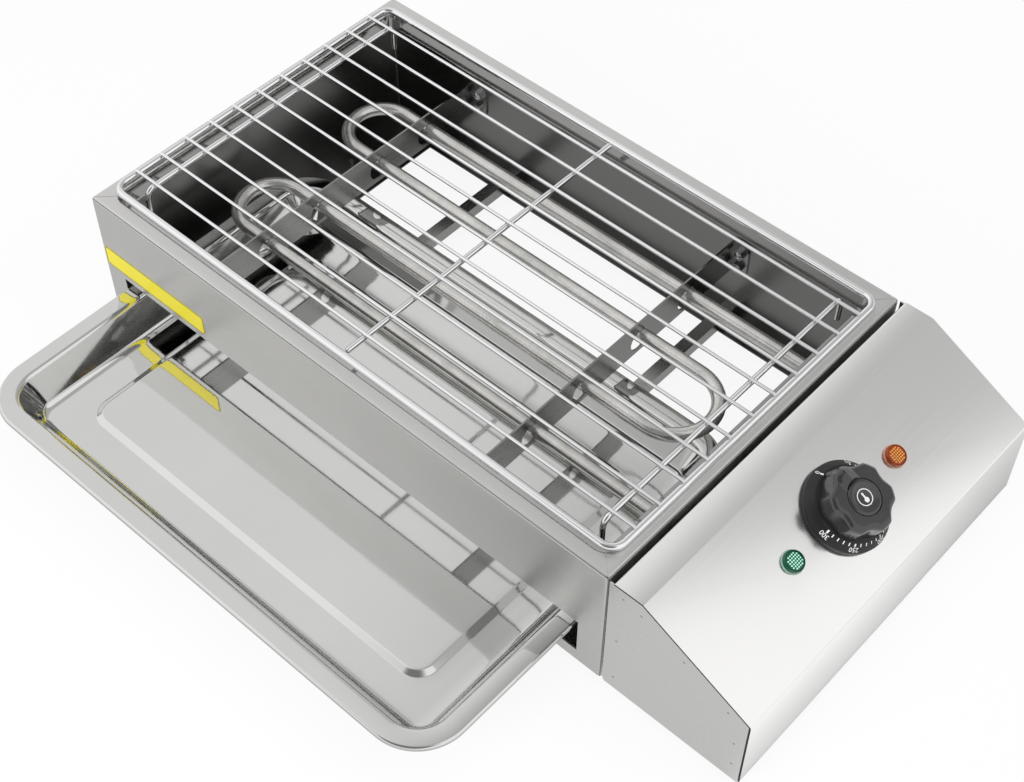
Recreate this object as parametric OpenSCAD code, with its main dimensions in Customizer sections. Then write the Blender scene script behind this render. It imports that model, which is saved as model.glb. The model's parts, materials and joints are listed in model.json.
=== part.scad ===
// Electric table roaster: an open sheet steel fire box with a tubular heating element,
// a lift-off wire grate, a pull-out water tray and a sloping control box at its right end.
// Sizes are in millimetres. Inside the modules X runs along the fire box from its left end,
// Y runs from its front panel to the back, and Z runs up from its bottom edge.

/* [Fire box] */
// Length of the fire box
housing_l = 440; // [410:1:500]
// Depth of the fire box, front to back
housing_w = 280; // [270:1:320]
// Height of the fire box
housing_h = 104; // [100:1:120]
// Thickness of the housing sheet
sheet_t = 1; // [0.8:0.1:1.2]
// Outer radius of the folds between walls and top flange
fold_r = 2.5; // [2:0.1:3]
// Width of the flange round the top opening
flange_w = 11; // [10:0.5:13]
// Corner radius of the top opening
opening_r = 8; // [7.5:0.5:10]
// Height of the lip turned down inside the flange
lip_h = 9; // [6:0.5:11]
// Width of the ledge that the lip carries
ledge_w = 6; // [4:0.5:6.5]
// Width of the bottom flange at the left and right ends
end_flange_w = 50; // [40:1:60]
// Width of the bottom flange along the front and the back
side_flange_w = 18; // [12:1:24]

/* [Tray slot] */
// Distance from each end of the front panel to the slot
slot_margin = 19; // [15:1:30]
// Height of the slot
slot_h = 30; // [28:1:32]

/* [Cross rails] */
// Width of each rail under the tray
rail_w = 9; // [7:0.5:12]
// Height of each rail
rail_h = 9; // [8:0.5:10]
// Distance of the left rail from the left end
rail_left_x = 116; // [100:1:135]
// Distance of the right rail from the right end
rail_right_x = 125; // [100:1:135]

/* [Element supports] */
// Thickness of a support blade
blade_t = 1.2; // [1:0.1:1.6]
// Height of a support blade
blade_h = 28; // [26:0.5:29]
// Height of the blades' top edge
blade_top = 72; // [71:0.5:76]
// Distance of the left blade from the left end
blade_left_x = 80.5; // [76:0.5:100]
// Distance of the right blade from the right end
blade_right_x = 123.5; // [100:0.5:140]
// Width of the folded end tabs
tab_w = 13; // [12:0.5:16]
// Corner radius of the end tabs
tab_r = 6; // [3:0.5:8]
// Pitch of the two studs of a tab
stud_pitch = 12; // [11:0.5:14]

/* [Heating element] */
// Diameter of the heating tube
tube_d = 9.6; // [8:0.2:10]
// Height of the tube's axis
tube_z = 58; // [57:0.5:60]
// Distance of the first run from the front panel
run_front_y = 78; // [65:1:85]
// Distance of the last run from the back panel
run_back_y = 49; // [40:1:60]
// Pitch of an outer loop, as a share of the distance from the first run to the last
loop_share = 0.314; // [0.28:0.002:0.34]
// Distance of the outer loops from the left end
loop_left_x = 34; // [28:1:40]
// Distance of the middle loop from the right end
loop_right_x = 46; // [40:1:60]

/* [Grate] */
// Diameter of the grate's frame rod
frame_d = 5; // [4:0.2:6]
// Corner radius of the frame, at the rod's axis
frame_r = 9; // [7:0.5:14]
// Distance that the frame's end rods lie in from the flange's inner edge
frame_lap = 3; // [2.6:0.1:4]
// Distance of the frame's long rods inside the flange's inner edge
frame_gap = 3; // [2.8:0.1:4]
// Diameter of the long wires
wire_d = 2.4; // [2:0.1:3]
// Number of long wires
wire_count = 11; // [9:1:13]
// Distance from the frame's long rods to the first long wire
wire_inset = 19; // [16:0.5:22]
// Diameter of the cross rods
cross_d = 3.8; // [3:0.1:4.4]
// Distance of the legs inside the ledge
leg_inset = 9; // [7:0.5:12]
// Length of the legs below the cross rods
leg_drop = 20; // [14:0.5:24]
// Bend radius where a cross rod turns down into a leg
leg_bend_r = 7; // [5:0.5:9]

/* [Water tray] */
// Depth of the tray, front to back
tray_d = 293; // [270:1:295]
// Height of the tray's rim above its underside
tray_h = 24.7; // [20:0.1:26]
// Thickness of the tray's sheet
tray_t = 0.8; // [0.6:0.1:1]
// Width of the tray's flat rim
rim_w = 12.5; // [9:0.5:15]
// Height of the hem turned down at the rim's edge
hem_h = 3; // [2:0.5:5]
// Outer corner radius of the tray
tray_r = 35; // [30:1:40]
// Run of the sloping wall from the rim to the floor
tray_wall_run = 12; // [10:0.5:14]
// Distance from the floor's edge to the raised panel
panel_margin = 23; // [18:1:30]
// Height of the raised panel in the floor
panel_rise = 2; // [1:0.1:3]
// Width of the bevel round the raised panel
panel_bevel = 4.5; // [3:0.5:6]
// Distance that the tray stands out of the front panel at rest
tray_out = 128; // [120:1:140]

/* [Control box] */
// Gap between the fire box and the control box
box_gap = 3.5; // [3.4:0.1:5]
// Length of the control box with its gap
box_reach = 102.5; // [98:0.5:115]
// Distance from the fire box to the cover's turned-down edge
cover_start = 3.6; // [3.6:0.1:6]
// Gap between the fire box and the control box's side panels
side_start = 1.1; // [0.8:0.1:3]
// Distance from the fire box to the crease at the top of the slope
crease_x = 24.3; // [20:0.1:30]
// Height of the front face below the slope
nose_h = 64; // [58:0.5:70]
// Distance from the fire box to the element's ends
element_reach = 17; // [15:0.5:19]

/* [Dial and lamps] */
// Distance of the dial and the lamps down the slope from the crease
dial_s = 41.7; // [41:0.1:48]
// Distance of the dial and the lamps in front of the slope's middle
dial_shift = 1.1; // [0:0.1:3]
// Diameter of the fixed scale ring
scale_d = 56; // [54:0.5:62]
// Height of the fixed scale ring at its top
scale_t = 8.5; // [6:0.5:9]
// Height of the scale ring's rim
scale_rim_h = 4.2; // [2.5:0.1:5]
// Diameter of the scale ring's flat top
scale_top_d = 47; // [45:0.5:52]
// Diameter of the knob at its foot
knob_d = 43.5; // [40:0.5:45]
// Diameter of the knob at its crown
crown_d = 43; // [40:0.5:43]
// Height of the knob
knob_h = 13.8; // [13:0.1:18]
// Number of grip lobes, the pointer among them
lobe_count = 6; // [5:1:8]
// Diameter of the cap on the knob
cap_d = 22.6; // [18:0.1:24]
// Distance of each lamp from the dial's axis
lamp_offset = 50.4; // [44:0.1:60]
// Diameter of a lamp's rim
lamp_d = 15.5; // [14:0.1:18]

/* [Feet] */
// Diameter of a foot at its top
foot_d = 20; // [16:0.5:24]
// Height of a foot
foot_h = 8; // [6:0.5:12]
// Distance of the left feet from the left end
foot_left_x = 18.7; // [14:0.1:28]
// Distance of the right feet from the fire box's right end
foot_right_x = 75; // [50:0.5:80]
// Distance of the feet from the front and the back
foot_y = 70; // [40:1:90]

/* [Hidden] */

steel = "#c9c9c7";
steel_dark = "#8f8f8c";
chrome = "#e4e5e6";
olive = "#77786f";
brass = "#b89b52";
zinc = "#b4b7ba";
black = "#1d1d1e";
yellow = "#f3df1c";
white = "#eeeae0";
green = "#0f7a4a";
amber = "#c8641e";

// One overrun for every cut, a running clearance, and the gap left where two sheets meet
cut = 1;
run_gap = 0.05;
seam_gap = 0.3;
// Facets of small, middle and large round pieces
fn_small = 24;
fn_mid = 48;
fn_large = 96;

// Fasteners: thread diameter, head and nut sizes, and how deep a wire sinks into its weld
screw_d = 4;
screw_hole_d = 4.4;
head_d = 7.6;
head_h = 2.4;
nut_af = 7;
nut_h = 3.2;
stud_h = 4.2;
recess_w = 1;
recess_l = 4;
recess_depth = 1.2;
weld_sink = 0.3;
seam_w = 0.3;
seam_depth = 0.25;

// Fire box
slot_z = sheet_t + rail_h;
lip_fold_r = 1.6;
tube_gap = 0.4;
lobe_d = 16;
lobe_shift = 3;
tab_hole_z = blade_top - blade_h/2;
stud_x = tab_w/2;
label_l = 98;
label_w = 16.6;
label_t = 0.2;
label_r = 3;
label_x = 3;
label_z = 45.2;
foot_hole_d = screw_hole_d;

// Heating element
element_w = housing_w - run_front_y - run_back_y;
loop_r = loop_share*element_w/2;
middle_r = element_w/2 - 2*loop_r;
run_ys = [
    run_front_y,
    run_front_y + 2*loop_r,
    run_front_y + 2*loop_r + 2*middle_r,
    housing_w - run_back_y
];
end_ys = [run_ys[0], run_ys[3]];
left_turn_x = loop_left_x + loop_r;
right_turn_x = housing_l - loop_right_x - middle_r;
bushing_collar_d = 18;
bushing_collar_t = 4;
bushing_neck_d = 14;
bushing_neck_gap = 0.3;
bushing_nut_af = 20;
bushing_nut_t = 3;
plate_hole_d = 18;
insulator_d = 8;
insulator_l = 5;
terminal_d = 3.5;
terminal_l = 11;

// Grate
rest_gap = 0.3;
frame_z = housing_h + rest_gap + frame_d/2;
frame_end_x = flange_w - frame_lap;
frame_side_y = flange_w + frame_gap;
wire_z = frame_z + frame_d/2 + wire_d/2 - weld_sink;
cross_z = wire_z - wire_d/2 - cross_d/2 + weld_sink;
wire_pitch = (housing_w - 2*frame_side_y - 2*wire_inset)/(wire_count - 1);
leg_x = flange_w + ledge_w + leg_inset;

// Water tray
tray_side_gap = 3;
tray_run_gap = 0.3;
tray_lift = slot_z + tray_run_gap;
tray_l = housing_l - 2*slot_margin - 2*tray_side_gap;
tray_x = slot_margin + tray_side_gap;
hem_bend_r = 1;
rim_bend_r = 3;
floor_bend_r = 7;
panel_r = 15;

// Control box
box_start = housing_l + box_gap;
box_end = housing_l + box_reach;
slope_run = box_reach - crease_x;
slope_angle = atan2(housing_h - nose_h, slope_run);
crease_r = 2;
cover_lip_h = 10;
cover_flange_w = 12;
cover_tab_w = 10;
base_gap = 0.3;
side_inset = sheet_t + seam_gap;
chamfer_x = 1.4;
chamfer_z = 3.5;
base_back = 4;
plate_top = 88;
plate_flange_w = 12;
plate_side_w = 11;
plate_side_z = 10;
spacer_d = 8;
spacer_y = 30;
spacer_low_z = 20;
spacer_high_z = 76;
window_margin = 8;
window_y = end_ys[0] + plate_hole_d/2 + window_margin;
window_l = end_ys[1] - end_ys[0] - plate_hole_d - 2*window_margin;
window_z = 20;
window_h = 17;
vent_l = 30;
vent_w = 4;
vent_pitch = 10;
vent_count = 6;
vent_x = 20;
base_screw_y = 40;
base_screw_x = 8;

// Thermostat, dial and knob
dial_y = housing_w/2 - dial_shift;
scale_bend_r = 0.8;
stat_l = 38;
stat_w = 30;
stat_h = 18;
bridge_l = 40;
bridge_w = 18;
bridge_t = 2;
stat_pitch = 28;
stat_head_h = 1.8;
stat_head_d = 5.6;
neck_d = 9.6;
neck_hole_d = 10.4;
shaft_d = 6;
shaft_depth = 8;
shaft_rise = 8.4;
shaft_flat = 1.5;
boss_d = 11;
knob_gap = 0.4;
knob_z = scale_t + knob_gap;
knob_wall = 2.4;
knob_top_r = 3;
scallop_r = 13;
scallop_bite = 1.2;
scallop_tilt = 8;
pointer_w = 13;
pointer_reach = 0.8;
pointer_lean = 2.5;
cap_recess = 1.4;
cap_rise = 0.9;

// Capillary, bulb and clips
capillary_d = 2;
capillary_pull = 60;
wire_sides = 8;
wire_steps = 14;
bulb_d = 6;
bulb_margin = 15;
bulb_l = window_l - 2*bulb_margin;
bulb_y = window_y + bulb_margin;
bulb_z = window_z + window_h/2;
clip_w = 8;
clip_t = 0.8;
clip_foot = 4;

// Terminal block, leads and earth
block_x = 44;
block_back = 41;
block_l = 34;
block_y = housing_w - block_back - block_l;
block_w = 18;
block_h = 14;
pole_l = 9;
pole_w = 12;
pole_h = 6;
pole_pitch = 11;
lead_d = 3;
lead_pull = 18;
earth_x = 60;
earth_back = 25;
earth_y = housing_w - earth_back;
earth_d = 5;
earth_h = 14;
earth_af = 8;
earth_nut_h = 4;

// Lamps
lamp_rise = 3.4;
lamp_neck_d = 9.6;
lamp_neck_l = 9;
lamp_hole_d = 10;
lens_d = 11.6;
lens_sink = 2.4;
lens_gap = 0.1;
lens_rise = 1.3;
lattice_pitch = 1.9;
lattice_w = 0.5;
lattice_depth = 0.4;
lattice_count = 5;
lamp_can_d = 11.5;
lamp_can_l = 16;
lamp_nut_af = 14;
lamp_nut_t = 2.5;
blade_l = 6;
blade_w = 3;

// Cable gland on the back panel of the control box
gland_x = 55;
gland_z = 28;
gland_bore_d = 8.4;
gland_neck_d = 13;
gland_hole_d = 13.4;
gland_head_d = 19;
gland_head_l = 6;
gland_dome_l = 6;
gland_dome_d = 15;
gland_inside_l = 8;
gland_nut_af = 19;
gland_nut_t = 4;

// Feet
foot_tip_d = 16;
foot_sink_d = 9;
foot_sink_h = 4;
foot_screw_up = 2;

total_l = box_end;
back_reach = gland_head_l + gland_dome_l;

// Moves a piece from the fire box's corner to the middle of the part's footprint
module in_place() {
    translate([-total_l/2, -(housing_w + back_reach - tray_out)/2, foot_h]) children();
}

// Unit vector from point a to point b
function toward(a, b) = (b - a)/norm(b - a);

// Direction turned a quarter to the left
function left_of(d) = [-d[1], d[0]];

// Point i of a path moved to the left by t, mitred at the corners
function moved_point(path, i, t) =
    let (last = len(path) - 1,
         before = toward(path[max(i - 1, 0)], path[max(i, 1)]),
         after = toward(path[min(i, last - 1)], path[min(i + 1, last)]),
         normals = left_of(before) + left_of(after))
    path[i] + t*2*normals/(normals*normals);

// Outline of a strip of thickness t that lies to the left of a path
function strip(path, t) =
    concat(path, [for (i = [len(path) - 1:-1:0]) moved_point(path, i, t)]);

// Arc of radius r that rounds the corner b of the line a, b, c
function fold(a, b, c, r, steps) =
    let (to_a = toward(b, a),
         to_c = toward(b, c),
         half = acos(to_a*to_c)/2,
         centre = b + r/sin(half)*toward([0, 0], to_a + to_c),
         first = b + to_a*r/tan(half) - centre,
         last = b + to_c*r/tan(half) - centre,
         start = atan2(first[1], first[0]),
         sweep = (atan2(last[1], last[0]) - start + 540) % 360 - 180)
    [for (k = [0:steps]) centre + r*[cos(start + sweep*k/steps), sin(start + sweep*k/steps)]];

// Path with all its inner corners rounded
function folded(points, r, steps) =
    concat([points[0]],
           [for (i = [1:len(points) - 2]) each fold(points[i - 1], points[i], points[i + 1], r, steps)],
           [points[len(points) - 1]]);

// Flat plate with four rounded corners
module round_plate(l, w, r, t) {
    linear_extrude(t) round_rect(l, w, r);
}

// Rectangle with four rounded corners
module round_rect(l, w, r) {
    translate([r, 0]) square([l - 2*r, w]);
    translate([0, r]) square([l, w - 2*r]);
    for (x = [r, l - r], y = [r, w - r]) translate([x, y]) circle(r, $fn = fn_mid);
}

// Profile swept round a rectangle with rounded corners; x of the profile runs inwards
module round_sweep(l, w, r) {
    for (turn = [0:3]) {
        side = turn % 2 == 0 ? l : w;
        across = turn % 2 == 0 ? w : l;
        translate([l/2, w/2, 0]) rotate(turn*90) translate([-side/2, -across/2, 0]) {
            translate([r, 0, 0]) rotate([90, 0, 90]) linear_extrude(side - 2*r) children();
            translate([r, r, 0]) rotate(180)
                rotate_extrude(angle = 90, $fn = fn_mid) translate([r, 0]) mirror([1, 0]) children();
        }
    }
}

// Quarter of a sheet fold: outer radius r, sheet t, centred on the origin, upper left
module quarter_fold(r, t) {
    intersection() {
        difference() {
            circle(r, $fn = fn_mid);
            circle(r - t, $fn = fn_mid);
        }
        translate([-r, 0]) square(r);
    }
}

// Puts a piece on the slope: s down from the crease, y across, Z along the outward normal
module on_slope(s, y) {
    translate([housing_l + crease_x, y, housing_h]) rotate([0, slope_angle, 0])
        translate([s, 0, 0]) children();
}

// Cross recess of a screw head, cut down from z = 0
module cross_recess() {
    for (turn = [0, 90]) rotate(turn)
        translate([-recess_l/2, -recess_w/2, -recess_depth]) cube([recess_l, recess_w, recess_depth + cut]);
}

// Pan head screw: the head's seat is z = 0 and the shank points down
module pan_screw(d, l, head, head_height) {
    translate([0, 0, -l]) cylinder(d = d, h = l, $fn = fn_small);
    difference() {
        cylinder(d1 = head, d2 = head*0.8, h = head_height, $fn = fn_small);
        translate([0, 0, head_height]) scale(head/head_d) cross_recess();
    }
}

// Hexagon nut standing on z = 0
module hex_nut(af, h, bore) {
    difference() {
        cylinder(d = af/cos(30), h = h, $fn = 6);
        translate([0, 0, -cut]) cylinder(d = bore, h = h + 2*cut, $fn = fn_small);
    }
}

// Round rod between two points
module rod(a, b, d) {
    span = b - a;
    translate(a)
        rotate([0, acos(span[2]/norm(span)), atan2(span[1], span[0])])
            cylinder(d = d, h = norm(span), $fn = fn_small);
}

// Point at share t of a curve that leaves a along da and comes to b from b + db
function curve_point(a, da, b, db, t) =
    pow(1 - t, 3)*a + 3*pow(1 - t, 2)*t*(a + da) + 3*(1 - t)*t*t*(b + db) + pow(t, 3)*b;

// Sideways directions carried along a row of tangents without twisting
function carried(ways, side, k = 0) =
    k == len(ways) ? [] :
    let (square_side = side - (side*ways[k])*ways[k],
         unit_side = square_side/norm(square_side))
    concat([unit_side], carried(ways, unit_side, k + 1));

// Bent wire from a to b as one closed tube with square ends
module bent_wire(a, da, b, db, d) {
    n = wire_sides;
    last = wire_steps;
    points = [for (k = [0:last]) curve_point(a, da, b, db, k/last)];
    inner_ways = [for (k = [1:last - 1]) toward(points[k - 1], points[k + 1])];
    ways = concat([da/norm(da)], inner_ways, [-db/norm(db)]);
    sides = carried(ways, abs(ways[0][1]) < 0.9 ? [0, 1, 0] : [1, 0, 0]);
    skin = [for (k = [0:last], j = [0:n - 1])
        points[k] + d/2*(cos(360*j/n)*sides[k] + sin(360*j/n)*cross(ways[k], sides[k]))];
    walls = [for (k = [0:last - 1], j = [0:n - 1], half = [0, 1])
        let (low = k*n + j, low_next = k*n + (j + 1) % n)
        half == 0 ? [low, low_next + n, low_next] : [low, low + n, low_next + n]];
    polyhedron(skin, concat([[for (j = [0:n - 1]) j]], walls, [[for (j = [n - 1:-1:0]) last*n + j]]));
}

// Outline of the sheet walls and folds of the fire box, inwards from its outer face
module wall_profile() {
    square([sheet_t, housing_h - fold_r]);
    translate([fold_r, housing_h - fold_r]) quarter_fold(fold_r, sheet_t);
}

// Outline of the lip and its ledge, inwards from the flange's inner edge
module lip_profile() {
    translate([-lip_fold_r, housing_h - lip_fold_r]) mirror([1, 0]) quarter_fold(lip_fold_r, sheet_t);
    translate([-sheet_t, housing_h - lip_h]) square([sheet_t, lip_h - lip_fold_r]);
    translate([-sheet_t, housing_h - lip_h]) square([sheet_t + ledge_w, sheet_t]);
}

module housing_shell() {
    color(steel) in_place() difference() {
        union() {
            round_sweep(housing_l, housing_w, fold_r) wall_profile();
            translate([0, 0, housing_h - sheet_t]) linear_extrude(sheet_t) difference() {
                translate([fold_r, fold_r]) square([housing_l - 2*fold_r, housing_w - 2*fold_r]);
                translate([flange_w - lip_fold_r, flange_w - lip_fold_r])
                    round_rect(housing_l - 2*flange_w + 2*lip_fold_r, housing_w - 2*flange_w + 2*lip_fold_r,
                               opening_r + lip_fold_r);
            }
            translate([flange_w, flange_w, 0])
                round_sweep(housing_l - 2*flange_w, housing_w - 2*flange_w, opening_r) lip_profile();
            linear_extrude(sheet_t) difference() {
                round_rect(housing_l, housing_w, fold_r);
                translate([end_flange_w, side_flange_w])
                    square([housing_l - 2*end_flange_w, housing_w - 2*side_flange_w]);
            }
        }
        translate([slot_margin, -cut, slot_z])
            cube([housing_l - 2*slot_margin, sheet_t + 2*cut, slot_h]);
        for (y = end_ys) translate([housing_l - sheet_t - cut, y, tube_z]) rotate([0, 90, 0])
            cylinder(d = bushing_neck_d + 2*bushing_neck_gap, h = sheet_t + 2*cut, $fn = fn_mid);
        spacer_places() translate([-sheet_t - cut, 0, 0]) rotate([0, 90, 0])
            cylinder(d = screw_hole_d, h = sheet_t + 2*cut, $fn = fn_small);
        for (y = [foot_y, housing_w - foot_y]) translate([foot_left_x, y, -cut])
            cylinder(d = foot_hole_d, h = sheet_t + 2*cut, $fn = fn_small);
        flange_seams();
    }
}

// Fine mitre seams where the flange's strips meet at the corners
module flange_seams() {
    seam_l = sqrt(2)*(flange_w + opening_r);
    for (end = [0, 1], side = [0, 1])
        translate([end*housing_l, side*housing_w, housing_h - seam_depth])
            mirror([end, 0, 0]) mirror([0, side, 0]) rotate(45)
                translate([0, -seam_w/2, 0]) cube([seam_l, seam_w, seam_depth + cut]);
}

// Channel rail lying across the bottom opening
module rail(x) {
    translate([x, sheet_t, sheet_t]) difference() {
        cube([rail_w, housing_w - 2*sheet_t, rail_h]);
        translate([sheet_t, -cut, -cut])
            cube([rail_w - 2*sheet_t, housing_w - 2*sheet_t + 2*cut, rail_h - sheet_t + cut]);
    }
}

module rail_left() {
    color(steel) in_place() rail(rail_left_x);
}

module rail_right() {
    color(steel) in_place() rail(housing_l - rail_right_x);
}

// Opening of a blade round one tube, with the lobe that lets the tube be threaded in
module tube_opening(y) {
    translate([y, tube_z]) circle(d = tube_d + 2*tube_gap, $fn = fn_mid);
    translate([y - lobe_shift, tube_z - lobe_shift]) circle(d = lobe_d, $fn = fn_mid);
}

// End tab: a flat plate with rounded far corners that stands against a wall
module end_tab() {
    translate([0, blade_top - blade_h]) difference() {
        union() {
            square([tab_w - tab_r, blade_h]);
            translate([0, tab_r]) square([tab_w, blade_h - 2*tab_r]);
            for (z = [tab_r, blade_h - tab_r]) translate([tab_w - tab_r, z]) circle(tab_r, $fn = fn_mid);
        }
        for (side = [-1, 1]) translate([stud_x, blade_h/2 + side*stud_pitch/2])
            circle(d = screw_hole_d, $fn = fn_small);
    }
}

// Support blade with the element's openings and two end tabs
module support(x) {
    translate([x - blade_t/2, sheet_t, 0]) rotate([90, 0, 90]) linear_extrude(blade_t) difference() {
        translate([0, blade_top - blade_h]) square([housing_w - 2*sheet_t, blade_h]);
        for (y = run_ys) tube_opening(y - sheet_t);
    }
    for (y = [sheet_t + blade_t, housing_w - sheet_t])
        translate([x, y, 0]) rotate([90, 0, 0]) linear_extrude(blade_t) end_tab();
}

module support_left() {
    color(steel_dark) in_place() support(blade_left_x);
}

module support_right() {
    color(steel_dark) in_place() support(housing_l - blade_right_x);
}

// Repeats a piece at the eight studs, with Z pointing from the wall into the fire box
module stud_places() {
    for (x = [blade_left_x, housing_l - blade_right_x], side = [-1, 1]) {
        z = tab_hole_z + side*stud_pitch/2;
        translate([x + stud_x, sheet_t, z]) rotate([-90, 0, 0]) children();
        translate([x + stud_x, housing_w - sheet_t, z]) rotate([90, 0, 0]) children();
    }
}

module support_studs() {
    color(zinc) in_place() stud_places() cylinder(d = screw_d, h = blade_t + stud_h, $fn = fn_small);
}

module support_nuts() {
    color(zinc) in_place() stud_places() translate([0, 0, blade_t]) {
        hex_nut(nut_af, nut_h, screw_d + 2*run_gap);
        translate([0, 0, nut_h]) difference() {
            intersection() {
                translate([0, 0, -nut_af/4]) sphere(d = nut_af, $fn = fn_small);
                cylinder(d = nut_af, h = nut_af, $fn = fn_small);
            }
            cylinder(d = screw_d + 2*run_gap, h = stud_h - nut_h + run_gap, $fn = fn_small);
        }
    }
}

module heating_element() {
    color(olive) in_place() translate([0, 0, tube_z]) {
        rod([left_turn_x, run_ys[0], 0], [housing_l + element_reach, run_ys[0], 0], tube_d);
        rod([left_turn_x, run_ys[3], 0], [housing_l + element_reach, run_ys[3], 0], tube_d);
        for (y = [run_ys[1], run_ys[2]]) rod([left_turn_x, y, 0], [right_turn_x, y, 0], tube_d);
        for (y = [run_ys[0] + loop_r, run_ys[2] + loop_r]) translate([left_turn_x, y, 0]) rotate(90)
            half_turn(loop_r);
        translate([right_turn_x, run_ys[1] + middle_r, 0]) rotate(-90) half_turn(middle_r);
    }
}

// Half turn of the heating tube
module half_turn(r) {
    rotate_extrude(angle = 180, $fn = fn_large) translate([r, 0]) circle(d = tube_d, $fn = fn_small);
}

// Places the element's two ends, with Z pointing along the tube to the right
module element_ends(x) {
    for (y = end_ys) translate([x, y, tube_z]) rotate([0, 90, 0]) children();
}

module element_bushings() {
    bore_l = bushing_collar_t + sheet_t + bushing_nut_t;
    color(brass) in_place() element_ends(housing_l - sheet_t) difference() {
        union() {
            translate([0, 0, -bushing_collar_t])
                cylinder(d = bushing_collar_d, h = bushing_collar_t, $fn = fn_mid);
            cylinder(d = bushing_neck_d, h = sheet_t + bushing_nut_t, $fn = fn_mid);
        }
        translate([0, 0, -bushing_collar_t - cut])
            cylinder(d = tube_d + 2*run_gap, h = bore_l + 2*cut, $fn = fn_mid);
    }
}

module element_nuts() {
    color(brass) in_place() element_ends(housing_l)
        hex_nut(bushing_nut_af, bushing_nut_t, bushing_neck_d + 2*run_gap);
}

module terminal_insulators() {
    color(white) in_place() element_ends(housing_l + element_reach)
        cylinder(d = insulator_d, h = insulator_l, $fn = fn_small);
}

module terminal_studs() {
    color(zinc) in_place() element_ends(housing_l + element_reach + insulator_l)
        cylinder(d = terminal_d, h = terminal_l, $fn = fn_small);
}

module water_label() {
    color(yellow) in_place() translate([label_x, 0, label_z]) rotate([90, 0, 0])
        round_plate(label_l, label_w, label_r, label_t);
}

module grate_frame() {
    color(chrome) in_place() translate([frame_end_x, frame_side_y, frame_z])
        round_sweep(housing_l - 2*frame_end_x, housing_w - 2*frame_side_y, frame_r)
            circle(d = frame_d, $fn = fn_small);
}

module grate_wires() {
    color(chrome) in_place() for (i = [0:wire_count - 1]) {
        y = frame_side_y + wire_inset + i*wire_pitch;
        rod([frame_end_x, y, wire_z], [housing_l - frame_end_x, y, wire_z], wire_d);
    }
}

// End rod of the grate, turned down into a leg at the front and the back
module legged_rod(x) {
    half_w = housing_w/2;
    rod([x, leg_x + leg_bend_r, cross_z], [x, housing_w - leg_x - leg_bend_r, cross_z], cross_d);
    for (side = [0, 1]) translate([x, half_w, cross_z - leg_bend_r])
            mirror([0, side, 0]) translate([0, leg_x - half_w, 0]) {
        translate([0, leg_bend_r, 0]) rotate([90, 0, -90]) rotate_extrude(angle = 90, $fn = fn_mid)
            translate([leg_bend_r, 0]) circle(d = cross_d, $fn = fn_small);
        translate([0, 0, leg_bend_r - leg_drop])
            cylinder(d = cross_d, h = leg_drop - leg_bend_r, $fn = fn_small);
        translate([0, 0, leg_bend_r - leg_drop]) sphere(d = cross_d, $fn = fn_small);
    }
}

module grate_cross_rods() {
    middle_y = frame_side_y + frame_d/2 - weld_sink;
    color(chrome) in_place() {
        legged_rod(leg_x);
        legged_rod(housing_l - leg_x);
        rod([housing_l/2, middle_y, cross_z], [housing_l/2, housing_w - middle_y, cross_z], cross_d);
    }
}

// Underside of the tray's hem, rim, wall and floor, from the hem's edge inwards
tray_corners = [
    [tray_t, tray_h - hem_h],
    [tray_t, tray_h - tray_t],
    [rim_w, tray_h - tray_t],
    [rim_w + tray_wall_run, 0],
    [tray_r - tray_t, 0]
];
tray_section = concat(
    [tray_corners[0]],
    fold(tray_corners[0], tray_corners[1], tray_corners[2], hem_bend_r, 4),
    fold(tray_corners[1], tray_corners[2], tray_corners[3], rim_bend_r, 5),
    fold(tray_corners[2], tray_corners[3], tray_corners[4], floor_bend_r, 6),
    [tray_corners[4]]
);
tray_floor_x = tray_r - tray_t;
panel_x = rim_w + tray_wall_run + panel_margin;

// Section of the bevel round the raised panel
panel_section = [[0, 0], [panel_bevel, panel_rise], [panel_bevel, panel_rise + tray_t], [0, tray_t]];

module drip_tray() {
    color(chrome) in_place() translate([tray_x, -tray_out, tray_lift]) {
        round_sweep(tray_l, tray_d, tray_r) polygon(strip(tray_section, tray_t));
        difference() {
            translate([tray_floor_x, tray_floor_x, 0])
                cube([tray_l - 2*tray_floor_x, tray_d - 2*tray_floor_x, tray_t]);
            translate([panel_x, panel_x, -cut])
                round_plate(tray_l - 2*panel_x, tray_d - 2*panel_x, panel_r, tray_t + 2*cut);
        }
        translate([panel_x, panel_x, 0])
            round_sweep(tray_l - 2*panel_x, tray_d - 2*panel_x, panel_r) polygon(panel_section);
        translate([panel_x + panel_bevel, panel_x + panel_bevel, panel_rise])
            round_plate(tray_l - 2*panel_x - 2*panel_bevel, tray_d - 2*panel_x - 2*panel_bevel,
                        panel_r - panel_bevel, tray_t);
    }
}

// Outer line of the cover's sheet, from its back lip over the slope to the bottom flange
cover_line = folded([
    [cover_start, housing_h - cover_lip_h],
    [cover_start, housing_h],
    [crease_x, housing_h],
    [box_reach, nose_h],
    [box_reach, sheet_t + base_gap],
    [box_reach - cover_flange_w, sheet_t + base_gap]
], crease_r, 4);

// Outline of the panel that closes each end of the control box
side_outline = [
    [side_start, chamfer_z],
    [side_start + chamfer_x, 0],
    [box_reach - side_inset, 0],
    moved_point([[box_reach, 0], [box_reach, nose_h], [crease_x, housing_h]], 1, side_inset),
    moved_point([[box_reach, nose_h], [crease_x, housing_h], [side_start, housing_h]], 1, side_inset),
    [side_start, housing_h - side_inset]
];

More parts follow.
